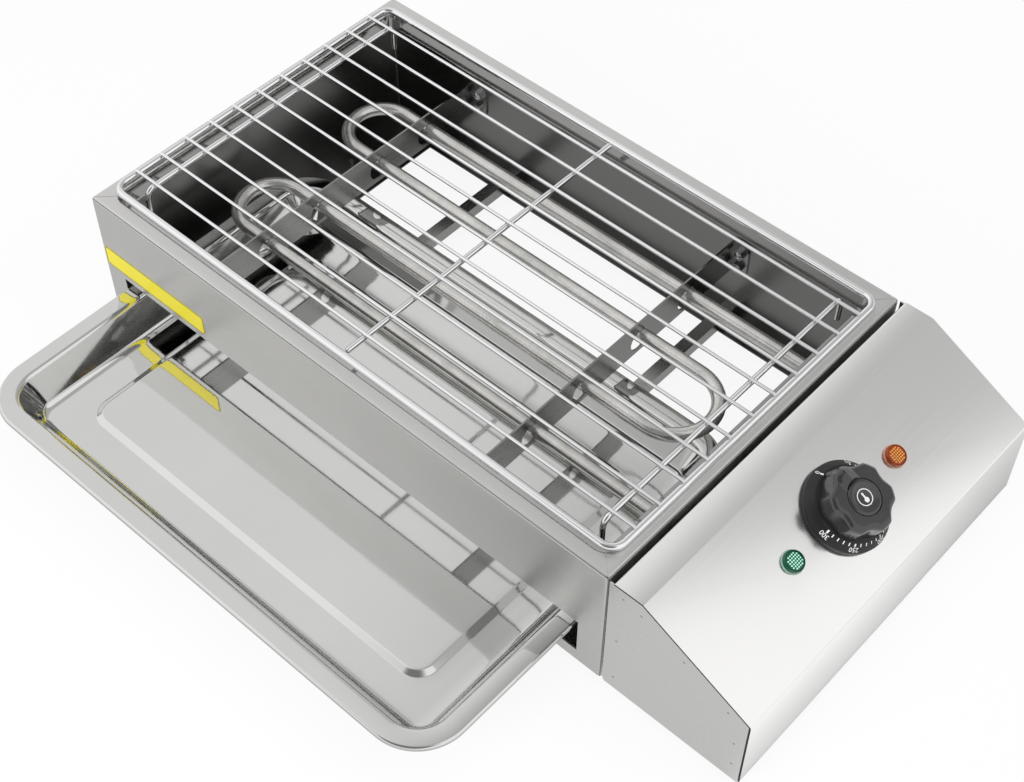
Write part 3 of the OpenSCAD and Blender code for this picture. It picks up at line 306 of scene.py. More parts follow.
@dataclass(frozen=True)
class BrightMetal:
    """Polished, plated or turned metal with faint smudges."""

    name: str
    tone: Color
    roughness: float
    smudge: float = 0.04
    smudge_scale: float = 22.0
    speck_scale: float = 600.0
    smudge_shade: float = 0.97
    relief: float | None = 0.02

    def build(self) -> Material:
        """Makes the material.

        Returns:
            The new material.
        """
        maker = MaterialMaker(self.name)
        smudges, specks = maker.marks(self.smudge_scale, self.speck_scale)
        return maker.finish(
            specks, self.relief, SPECK_RELIEF,
            Base_Color=maker.blend(smudges, shade(self.tone, self.smudge_shade), self.tone),
            Roughness=maker.around(smudges, self.roughness, self.smudge),
            Metallic=1.0,
        )


@dataclass(frozen=True)
class Moulded:
    """Moulded, sintered, fired or printed material that isn't a metal."""

    name: str
    tone: Color
    roughness: float
    spread: float = 0.08
    smudge_scale: float = 60.0
    speck_scale: float = 2500.0
    relief: float = 0.05
    coat: float = 0.0
    coat_roughness: float = 0.06

    def build(self) -> Material:
        """Makes the material.

        Returns:
            The new material.
        """
        maker = MaterialMaker(self.name)
        smudges, specks = maker.marks(self.smudge_scale, self.speck_scale)
        return maker.finish(
            specks, self.relief, SPECK_RELIEF,
            Base_Color=maker.tint(smudges, self.tone, self.spread),
            Roughness=maker.around(smudges, self.roughness, self.spread / 2),
            Coat_Weight=self.coat,
            Coat_Roughness=self.coat_roughness,
        )


@dataclass(frozen=True)
class Sheath:
    """Matt heating tube with rolling marks and heat stain."""

    name: str
    tone: Color
    stain: Color
    roughness: float
    gloss_spread: float = 0.06
    smudge_scale: float = 45.0
    speck_scale: float = 1400.0
    relief: float = 0.12
    metallic: float = 0.85

    def build(self) -> Material:
        """Makes the material.

        Returns:
            The new material.
        """
        maker = MaterialMaker(self.name)
        smudges, specks = maker.marks(self.smudge_scale, self.speck_scale)
        return maker.finish(
            specks, self.relief, SPECK_RELIEF,
            Base_Color=maker.blend(smudges, self.stain, self.tone),
            Roughness=maker.around(specks, self.roughness, self.gloss_spread),
            Metallic=self.metallic,
        )


FINISHES = {
    "fire_box": SheetSteel("brushed_fire_box", (0.74, 0.735, 0.72), 0.38, Axis.ALONG_X, relief=0.02),
    # the inside is the same steel as the outside, painted far darker as shade
    "fire_box_painted_shade": SheetSteel(
        "painted_shade_inside", (0.25, 0.248, 0.242), 0.24, Axis.NONE, relief=0.0, gloss_spread=0.02
    ),
    "lip_fold": SheetSteel("polished_lip", (0.52, 0.517, 0.51), 0.10, Axis.NONE, relief=0.0, gloss_spread=0.02),
    # near-black cut edges are painted shadow of the seam between the cover and the side panels
    "seam_shadow_edge": SheetSteel("painted_seam_shadow", (0.06, 0.06, 0.058), 0.55, Axis.NONE),
    "inner_steel": SheetSteel("rolled_inner_steel", (0.42, 0.42, 0.41), 0.26, Axis.ALONG_Y),
    "control_panels": SheetSteel(
        "brushed_control_box", (0.94, 0.935, 0.925), 0.17, Axis.ALONG_SLOPE,
        relief=0.006, tone_spread=0.012, gloss_spread=0.012,
    ),
    "control_sides": SheetSteel(
        "brushed_side_panels", (0.82, 0.815, 0.805), 0.28, Axis.ALONG_X,
        relief=0.004, tone_spread=0.01, gloss_spread=0.01,
    ),
    "blades": SheetSteel("polished_blades", (0.33, 0.33, 0.32), 0.24, Axis.ALONG_Y, relief=0.03),
    "grate_chrome": BrightMetal("chrome_wire", (0.90, 0.90, 0.905), 0.06, smudge=0.02, relief=None),
    "tray_steel": BrightMetal("mirror_tray", (0.75, 0.75, 0.74), 0.055, smudge=0.02, relief=None),
    "element_sheath": Sheath("element_tube", (0.80, 0.79, 0.765), (0.58, 0.575, 0.55), 0.22),
    "zinc": BrightMetal("zinc_plate", (0.62, 0.63, 0.65), 0.24, smudge=0.06),
    "brass": BrightMetal("turned_brass", (0.72, 0.56, 0.26), 0.22),
    "copper": BrightMetal("drawn_copper", (0.72, 0.42, 0.27), 0.25),
    "ceramic": Moulded("glazed_ceramic", (0.82, 0.80, 0.74), 0.32, coat=0.4),
    "label_film": Moulded("yellow_film", (0.82, 0.71, 0.015), 0.36, spread=0.02, relief=0.01),
    "label_line": Moulded("dark_print", (0.10, 0.09, 0.03), 0.4, spread=0.03),
    "knob_plastic": Moulded("black_knob", (0.020, 0.020, 0.021), 0.26, spread=0.1, relief=0.02, coat=0.8),
    "scale_plastic": Moulded("black_scale", (0.006, 0.006, 0.0065), 0.44, spread=0.1, relief=0.04),
    "white_print": Moulded("white_print", (0.86, 0.86, 0.85), 0.45, spread=0.03),
    "lamp_green": Moulded("green_rim", (0.006, 0.085, 0.045), 0.2),
    "flange_green": Moulded("green_flange", (0.30, 0.42, 0.36), 0.25),
    # the beads' hue is the lens's own; their far lighter tone than the dark core is a painted glint
    "lens_green": Moulded("green_bead_glint", (0.50, 1.0, 0.76), 0.3, spread=0.04),
    "lamp_amber": Moulded("amber_rim", (0.33, 0.05, 0.006), 0.2),
    "flange_amber": Moulded("amber_flange", (0.62, 0.32, 0.20), 0.25),
    "lens_amber": Moulded("amber_bead_glint", (1.0, 0.50, 0.08), 0.3, spread=0.04),
    "nylon": Moulded("natural_nylon", (0.78, 0.77, 0.72), 0.45),
    "insulation": Moulded("silicone_sleeve", (0.05, 0.05, 0.055), 0.55),
    "gland_plastic": Moulded("black_nylon", (0.025, 0.025, 0.026), 0.42),
    "foot_rubber": Moulded("black_rubber", (0.03, 0.03, 0.03), 0.7, relief=0.2),
}


@cache
def material(slot: str) -> Material:
    """Makes a finish's material the first time, and gives the same one after that."""
    return FINISHES[slot].build()


def add_object(name: str, mesh: bpy.types.Mesh) -> Piece:
    """Links a mesh into the scene as an object at the origin.

    Args:
        name: the object's name.
        mesh: its mesh.

    Returns:
        The new object.
    """
    piece = bpy.data.objects.new(name, mesh)
    bpy.context.scene.collection.objects.link(piece)
    return piece


def plain_mesh(source: Piece) -> bpy.types.Mesh:
    """Gives the mesh that an object has after its modifiers, or that a text has."""
    graph = bpy.context.evaluated_depsgraph_get()
    return bpy.data.meshes.new_from_object(source.evaluated_get(graph), depsgraph=graph)


def bake_modifiers(piece: Piece) -> None:
    """Turns a piece with modifiers into a plain mesh without them.

    Args:
        piece: the object.
    """
    mesh = plain_mesh(piece)
    piece.modifiers.clear()
    piece.data = mesh


def thicken(piece: Piece, thickness: float, even: bool = False) -> None:
    """Gives a surface a thickness on its back.

    Args:
        piece: the surface.
        thickness: its thickness.
        even: whether it keeps its thickness in corners.
    """
    solid = piece.modifiers.new("thickness", "SOLIDIFY")
    solid.thickness = thickness
    solid.offset = -1.0
    solid.use_even_offset = even
    bake_modifiers(piece)


def settle(
    piece: Piece, slot: str, body: Body, *replaced: str, finish: str | None = None, angle: float = 38.0
) -> None:
    """Dresses a piece, smooths it, and puts it on its body.

    Args:
        piece: the mesh object.
        slot: key of its slot.
        body: the body that it rides on.
        replaced: CAD nodes that it stands for.
        finish: key of its finish, where that isn't the slot's own.
        angle: edges sharper than this many degrees stay sharp.
    """
    mesh = piece.data
    if not any(mesh.materials):
        mesh.materials.clear()
        mesh.materials.append(material(finish or slot))
    mesh.shade_smooth()
    mesh.set_sharp_from_angle(angle=math.radians(angle))
    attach(piece, body.value)
    if replaced:
        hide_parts(*replaced)
    log.info("%s: %d faces on %s", piece.name, len(mesh.polygons), body.value)


def merged_copy(node: str, name: str) -> Piece:
    """Copies a CAD node's solid as one joined mesh.

    Args:
        node: name of the CAD node.
        name: name of the new piece.

    Returns:
        The new object.
    """
    shape = bmesh.new()
    shape.from_mesh(NODES[node].data)
    bmesh.ops.remove_doubles(shape, verts=shape.verts, dist=WELD_DISTANCE)
    shape.verts.index_update()
    places = [tuple(v.co) for v in shape.verts]
    faces = [tuple(v.index for v in f.verts) for f in shape.faces]
    shape.free()
    mesh = bpy.data.meshes.new(name)
    mesh.from_pydata(places, [], faces)
    mesh.update()
    return add_object(name, mesh)


def arc_corner(before: Vector, corner: Vector, after: Vector, radius: float, steps: int) -> Path:
    """Rounds one corner of a path.

    Args:
        before: the point before the corner.
        corner: the corner.
        after: the point after it.
        radius: radius of the rounding.
        steps: number of chords of the arc.

    Returns:
        The arc's points.
    """
    back, ahead = (before - corner).normalized(), (after - corner).normalized()
    half = back.angle(ahead) / 2
    centre = corner + (back + ahead).normalized() * radius / math.sin(half)
    first = corner + back * radius / math.tan(half) - centre
    last = corner + ahead * radius / math.tan(half) - centre
    turn = first.angle(last)
    points = []
    for k in range(steps + 1):
        share = k / steps
        points.append(
            centre + (first * math.sin((1 - share) * turn) + last * math.sin(share * turn)) / math.sin(turn)
        )
    return points


def rounded_path(points: Path, radii: Sequence[float], steps: int, closed: bool = False) -> Path:
    """Rounds the corners of a path.

    Args:
        points: the path's corners.
        radii: one radius for each corner; zero leaves it sharp.
        steps: chords of each arc.
        closed: whether the last corner joins the first.

    Returns:
        The rounded path.
    """
    count = len(points)
    result: Path = []
    for i, corner in enumerate(points):
        if radii[i] <= 0 or not closed and i in (0, count - 1):
            result.append(corner)
        else:
            result += arc_corner(points[i - 1], corner, points[(i + 1) % count], radii[i], steps)
    return result


def rounded_rectangle(low: Vector, high: Vector, inset: float, z: float, radius: float, steps: int) -> Path:
    """Gives a level rectangle with rounded corners.

    Args:
        low: lowest corner of the space that it lies in.
        high: highest corner of that space.
        inset: distance inside that space.
        z: height of the rectangle.
        radius: radius of its corners.
        steps: chords of each corner.

    Returns:
        The rectangle's points.
    """
    left, right, front, back = low.x + inset, high.x - inset, low.y + inset, high.y - inset
    corners = [Vector((x, y, z)) for x, y in ((left, front), (right, front), (right, back), (left, back))]
    return rounded_path(corners, [radius] * 4, steps, closed=True)


def from_shape(name: str, shape: Shape, last_down: bool = False) -> Piece:
    """Turns an edited shape into an object, with its faces the right way round.

    Args:
        name: name of the new piece.
        shape: the shape, which is freed.
        last_down: whether its last face has to look down.

    Returns:
        The new object.
    """
    bmesh.ops.recalc_face_normals(shape, faces=shape.faces)
    shape.faces.ensure_lookup_table()
    if last_down and shape.faces[-1].normal.z > 0:
        bmesh.ops.reverse_faces(shape, faces=shape.faces)
    mesh = bpy.data.meshes.new(name)
    shape.to_mesh(mesh)
    shape.free()
    return add_object(name, mesh)


def bridge(shape: Shape, low: Ring, high: Ring, shift: int = 0) -> None:
    """Joins two rings of vertices by faces; a ring can be a single vertex.

    Args:
        shape: the edited shape.
        low: the first ring.
        high: the second ring.
        shift: vertices by which the second ring is turned.
    """
    count = max(len(low), len(high))
    for k in range(count):
        ends = (k, (k + 1) % count)
        corners = [low[i % len(low)] for i in ends] + [high[(i + shift) % len(high)] for i in reversed(ends)]
        shape.faces.new(list(dict.fromkeys(corners)))


def tube(name: str, paths: list[Path], radius: float, sides: int, closed: bool = False) -> Piece:
    """Sweeps round rods along paths, with softly rounded ends.

    Args:
        name: name of the new piece.
        paths: one path for each rod.
        radius: radius of the rods.
        sides: number of sides.
        closed: whether each path is a ring.

    Returns:
        The new object.
    """
    shape = bmesh.new()
    for path in paths:
        count = len(path)
        ways = []
        for i in range(count):
            before = path[i - 1] if closed or i else path[i]
            after = path[(i + 1) % count] if closed or i < count - 1 else path[i]
            ways.append((after - before).normalized())
        side = ways[0].orthogonal().normalized()
        rings = []
        for point, way in zip(path, ways):
            side = (side - way * side.dot(way)).normalized()
            rings.append((point, side, way.cross(side), radius))
        if not closed:
            nose = radius * NOSE_LENGTH
            (start, *start_ways, _), (end, *end_ways, _) = rings[0], rings[-1]
            rings.insert(0, (start - ways[0] * nose, *start_ways, radius * NOSE_WIDTH))
            rings.append((end + ways[-1] * nose, *end_ways, radius * NOSE_WIDTH))
        turned = 2 * math.pi / sides
        loops = [
            [
                shape.verts.new(p + (u * math.cos(k * turned) + w * math.sin(k * turned)) * r)
                for k in range(sides)
            ]
            for p, u, w, r in rings
        ]
        for low, high in zip(loops, loops[1:]):
            bridge(shape, low, high)
        if closed:
            gaps = [(vertex.co - loops[-1][0].co).length for vertex in loops[0]]
            bridge(shape, loops[-1], loops[0], gaps.index(min(gaps)))
        else:
            shape.faces.new(list(reversed(loops[0])))
            shape.faces.new(loops[-1])
    return from_shape(name, shape)


def turned_piece(
    name: str,
    profile: Sequence[Flat],
    place: Matrix,
    steps: int,
    bend: Callable[[float, float, float], Flat] | None = None,
) -> Piece:
    """Turns a profile round the vertical axis, then puts it in place.

    Args:
        name: name of the new piece.
        profile: radius and height pairs, from the bottom centre round to the top centre.
        place: matrix that carries it to its place.
        steps: number of facets round.
        bend: changes radius and height by the angle, where the piece isn't round.

    Returns:
        The new object.
    """
    shape = bmesh.new()
    rows = []
    for radius, height in profile:
        row = []
        for k in range(steps if radius > 0 else 1):
            angle = 2 * math.pi * k / steps
            r, h = bend(radius, height, angle) if bend else (radius, height)
            row.append(shape.verts.new(place @ Vector((r * math.cos(angle), r * math.sin(angle), h))))
        rows.append(row)
    for low, high in zip(rows, rows[1:]):
        bridge(shape, low, high)
    return from_shape(name, shape)


def row_tree(name: str, shape: Callable[[Graph], Socket]) -> Tree:
    """Builds a Geometry Nodes tree that puts copies of a shape on its input's points.

    The input's points carry a turn attribute, in radians about the vertical axis.

    Args:
        name: the tree's name.
        shape: adds the repeated shape's nodes and returns its geometry socket.

    Returns:
        The tree.
    """
    geometry = "NodeSocketGeometry"
    tree, graph, given, made = new_group(
        name,
        "GeometryNodeTree",
        {"Points": geometry, "Size": VECTOR, "Tilt": FLOAT, "Finish": "NodeSocketMaterial"},
        {"Geometry": geometry},
    )
    turn = graph.add("GeometryNodeInputNamedAttribute", {"Name": "turn"}, data_type="FLOAT")
    rotation = graph.add("ShaderNodeCombineXYZ", {"Y": given["Tilt"], "Z": turn.outputs["Attribute"]})
    copies = {
        "Points": given["Points"],
        "Instance": shape(graph),
        "Rotation": rotation.outputs[0],
        "Scale": given["Size"],
    }
    placed = graph.add("GeometryNodeInstanceOnPoints", copies)
    real = graph.add("GeometryNodeRealizeInstances", {"Geometry": placed.outputs["Instances"]})
    painted = graph.add(
        "GeometryNodeSetMaterial", {"Geometry": real.outputs["Geometry"], "Material": given["Finish"]}
    )
    graph.feed(made["Geometry"], painted.outputs["Geometry"])
    return tree


def unit_bar(graph: Graph) -> Socket:
    """Adds a unit bar, used for the dial's ticks."""
    return graph.add("GeometryNodeMeshCube", {"Size": (1.0, 1.0, 1.0)}).outputs["Mesh"]


def unit_bead(graph: Graph) -> Socket:
    """Adds a unit bead, used for the lamp lenses and the spot welds."""
    return graph.add("GeometryNodeMeshUVSphere", {"Segments": 12, "Rings": 6, "Radius": 0.5}).outputs["Mesh"]


def unit_rod(graph: Graph) -> Socket:
    """Adds a unit rod along X, used for the grate's wires.

    Args:
        graph: the graph to add to.

    Returns:
        The rod's geometry socket.
    """
    line = graph.add("GeometryNodeCurvePrimitiveLine", {"Start": (-0.5, 0.0, 0.0), "End": (0.5, 0.0, 0.0)})
    ring = graph.add("GeometryNodeCurvePrimitiveCircle", {"Resolution": 20, "Radius": 0.5})
    swept = {"Curve": line.outputs["Curve"], "Profile Curve": ring.outputs["Curve"], "Fill Caps": True}
    return graph.add("GeometryNodeCurveToMesh", swept).outputs["Mesh"]


BAR_TREE = row_tree("tick_marks", unit_bar)
BEAD_TREE = row_tree("beads", unit_bead)
ROD_TREE = row_tree("grate_rods", unit_rod)


def repeat_on_points(
    name: str,
    tree: Tree,
    points: Path,
    size: Sequence[float],
    slot: str,
    place: Matrix = Matrix.Identity(4),
    turns: Sequence[float] = (),
    tilt: float = 0.0,
) -> Piece:
    """Runs a repeating tree on points and keeps the result as a plain mesh.

    Args:
        name: name of the new piece.
        tree: the Geometry Nodes tree.
        points: places of the copies.
        size: size of one copy.
        slot: key of the copies' finish.
        place: matrix that carries the result to its place.
        turns: turns of the copies about the vertical axis, in radians, if they have any.
        tilt: turn of each copy about its own Y axis, in radians.

    Returns:
        The new object.
    """
    mesh = bpy.data.meshes.new(name)
    mesh.from_pydata([tuple(p) for p in points], [], [])
    turn = mesh.attributes.new("turn", "FLOAT", "POINT")
    if turns:
        turn.data.foreach_set("value", turns)
    piece = add_object(name, mesh)
    modifier = piece.modifiers.new("repeat", "NODES")
    modifier.node_group = tree
    wanted = {"Size": tuple(size), "Tilt": tilt, "Finish": material(slot)}
    for item in tree.interface.items_tree:
        if item.item_type == "SOCKET" and item.in_out == "INPUT" and item.name in wanted:
            modifier[item.identifier] = wanted[item.name]
    bake_modifiers(piece)
    piece.data.transform(place)
    return piece


@dataclass
class FireBox:
    """Folded sheet box with its label."""

    sheet: float = 0.001
    flange: float = 0.011
    lip_h: float = 0.0095
    lip_start: float = 0.7  # share of the flange
    label_inset: float = 0.0002
    label_line: float = 0.0006
    label_radius: float = 0.003
    print_height: float = 0.00004

    def build(self) -> None:
        """Makes the box's pieces."""
        self.shell()
        self.label()

    def shell(self) -> None:
        """Copies the box as a joined sheet with a polished lip and an inside painted darker as shade."""
        finishes = ("fire_box", "fire_box_painted_shade", "lip_fold")
        piece = merged_copy("housing_shell", "fire_box_sheet")
        for key in finishes:
            piece.data.materials.append(material(key))
        low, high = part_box("housing_shell")
        edge = self.sheet / 2
        for face in piece.data.polygons:
            c = face.center
            to_wall = min(c.x - low.x, high.x - c.x, c.y - low.y, high.y - c.y)
            if to_wall < edge:
                continue
            below_top = c.z < high.z - edge
            looks_down = face.normal.z < -0.5
            folded = c.z > high.z - self.lip_h and not looks_down
            if not folded or to_wall < self.flange * self.lip_start and below_top:
                # faces inside the box and under the flange get the painted shade
                face.material_index = finishes.index("fire_box_painted_shade")
            elif below_top:
                face.material_index = finishes.index("lip_fold")
        settle(piece, "fire_box", Body.ROOT, "housing_shell")

    def label(self) -> None:
        """Adds the plain yellow strip with its thin dark line."""
        low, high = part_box("water_label")
        settle(merged_copy("water_label", "label_strip"), "label_film", Body.ROOT, "water_label")
        front = low.y - self.print_height
        outline = []
        for inset in (self.label_inset, self.label_inset + self.label_line):
            space = Vector((low.x, low.z, 0)), Vector((high.x, high.z, 0))
            flat = rounded_rectangle(*space, inset, 0.0, self.label_radius - inset, steps=6)
            outline += [(p.x, front, p.y) for p in flat]
        count = len(outline) // 2
        faces = [(i, (i + 1) % count, count + (i + 1) % count, count + i) for i in range(count)]
        mesh = bpy.data.meshes.new("label_keyline")
        mesh.from_pydata(outline, [], faces)
        line = add_object("label_keyline", mesh)
        thicken(line, self.print_height)
        settle(line, "label_film", Body.ROOT, finish="label_line")


@dataclass
class Grate:
    """Lift-off wire grate: frame rod, long wires and cross rods with legs."""

    frame_d: float = 0.005
    frame_r: float = 0.009
    wire_d: float = 0.0024
    wire_count: int = 11
    cross_d: float = 0.0038
    leg_bend: float = 0.007
    leg_inset: float = 0.0145

    def build(self) -> None:
        """Makes the three kinds of rod."""
        self.frame_rod()
        self.wires()
        self.cross_rods()

    def frame_rod(self) -> None:
        """Bends the frame rod round the grate."""
        low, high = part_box("grate_frame")
        r = self.frame_d / 2
        path = rounded_rectangle(low, high, r, (low.z + high.z) / 2, self.frame_r, steps=14)
        rod = tube("grate_frame_rod", [path], r, sides=28, closed=True)
        settle(rod, "grate_chrome", Body.GRATE, "grate_frame")

    def wires(self) -> None:
        """Lays the long wires over the frame."""
        low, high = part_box("grate_wires")
        pitch = (high.y - low.y - self.wire_d) / (self.wire_count - 1)
        middle_x, z = (low.x + high.x) / 2, (low.z + high.z) / 2
        points = [
            Vector((middle_x, low.y + self.wire_d / 2 + i * pitch, z)) for i in range(self.wire_count)
        ]
        size = (high.x - low.x, self.wire_d, self.wire_d)
        rods = repeat_on_points("grate_long_wires", ROD_TREE, points, size, "grate_chrome")
        settle(rods, "grate_chrome", Body.GRATE, "grate_wires")

    def cross_rods(self) -> None:
        """Bends the end rods down into legs and lays the middle rod."""
        low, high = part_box("grate_cross_rods")
        frame_low, frame_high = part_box("grate_frame")
        r = self.cross_d / 2
        foot, z = low.z + r, high.z - r
        front, back = frame_low.y + self.leg_inset, frame_high.y - self.leg_inset
        paths = []
        for x in (low.x + r, high.x - r):
            corners = [Vector((x, y, h)) for y, h in ((front, foot), (front, z), (back, z), (back, foot))]
            paths.append(rounded_path(corners, [0, self.leg_bend, self.leg_bend, 0], steps=10))
        middle_x = (low.x + high.x) / 2
        ends = (max(low.y + r, frame_low.y + self.frame_d), min(high.y - r, frame_high.y - self.frame_d))
        paths.append([Vector((middle_x, y, z)) for y in ends])
        settle(tube("grate_cross_bars", paths, r, sides=24), "grate_chrome", Body.GRATE, "grate_cross_rods")


@dataclass
class HeatingElement:
    """Tubular element bent into two outer loops and a middle loop."""

    tube_d: float = 0.0096
    steps: int = 28
    loop_share: float = 0.314
    middle_gap: float = 0.0582

    def build(self) -> None:
        """Bends the tube inside its node's extents."""
        low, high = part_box("heating_element")
        r = self.tube_d / 2
        z = (low.z + high.z) / 2
        first, last = low.y + r, high.y - r
        outer_r = (last - first) * self.loop_share / 2
        middle_r = (last - first) / 2 - 2 * outer_r
        left_x, right_x = low.x + r + outer_r, high.x - self.middle_gap - r - middle_r
        end_x = high.x - r * (1 - NOSE_WIDTH)
        path = [Vector((end_x, first, z))]
        turns = (
            (left_x, first + outer_r, outer_r, -math.pi),
            (right_x, first + 2 * outer_r + middle_r, middle_r, math.pi),
            (left_x, last - outer_r, outer_r, -math.pi),
        )
        for x, y, radius, sweep in turns:
            path += self.half_turn(Vector((x, y, z)), radius, sweep)
        path.append(Vector((end_x, last, z)))
        settle(tube("element_tube", [path], r, sides=26), "element_sheath", Body.ROOT, "heating_element")

    def half_turn(self, centre: Vector, radius: float, sweep: float) -> Path:
        """Gives the points of a turn that starts in front of its centre, with its sweep in radians."""
        angles = [1.5 * math.pi + sweep * k / self.steps for k in range(self.steps + 1)]
        return [centre + Vector((math.cos(angle), math.sin(angle), 0)) * radius for angle in angles]


@dataclass
class WaterTray:
    """Pressed tray with a turned-down rim, sloping walls and a raised panel."""

    sheet: float = 0.0008
    corner_r: float = 0.035
    least_corner_r: float = 0.004
    rim_w: float = 0.0125
    hem_h: float = 0.003
    wall_run: float = 0.012
    wall_bends: tuple[float, ...] = (0, 0.0012, 0.0035, 0.0075, 0)
    panel_margin: float = 0.023
    wall_foot: float = 0.45  # share of the margin
    panel_foot: float = 0.3  # share of the margin
    panel_rise: float = 0.002
    panel_bevel: float = 0.0045
    panel_bends: tuple[float, ...] = (0, 0.0028, 0.0028, 0)
    panel_r: float = 0.015
    corner_steps: int = 20

    def build(self) -> None:
        """Lofts the tray through rounded rectangles."""
        low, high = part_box("drip_tray")
        t = self.sheet
        top, bottom = high.z - t, low.z
        floor_x = self.rim_w + self.wall_run
        panel_x = floor_x + self.panel_margin
        raised = bottom + self.panel_rise
        wall_end = floor_x + self.panel_margin * self.wall_foot
        panel_start = panel_x - self.panel_margin * self.panel_foot
        wall = [(t, top + t - self.hem_h), (t, top), (self.rim_w, top), (floor_x, bottom), (wall_end, bottom)]
        step = [(panel_start, bottom), (panel_x, bottom)]
        step += [(panel_x + self.panel_bevel * k, raised) for k in (1, 2)]
        wall = self.section(wall, self.wall_bends, steps=8)
        step = self.section(step, self.panel_bends, steps=6)
        rings = [(p.x, p.y, max(self.corner_r - p.x, self.least_corner_r)) for p in wall]
        rings += [(p.x, p.y, self.panel_r - (p.x - panel_x)) for p in step]
        shape = bmesh.new()
        loops = []
        for inset, z, radius in rings:
            ring = rounded_rectangle(low, high, inset, z, radius, self.corner_steps)
            loops.append([shape.verts.new(point) for point in ring])
        for outer, inner in zip(loops, loops[1:]):
            bridge(shape, outer, inner)
        shape.faces.new(loops[-1])
        pan = from_shape("tray_pan", shape, last_down=True)
        thicken(pan, t, even=True)
        settle(pan, "tray_steel", Body.TRAY, "drip_tray", angle=50.0)

    def section(self, corners: Sequence[Flat], radii: Sequence[float], steps: int) -> Path:
        """Rounds a section, whose points give an inset and a height."""
        return rounded_path([Vector((x, z, 0)) for x, z in corners], radii, steps)


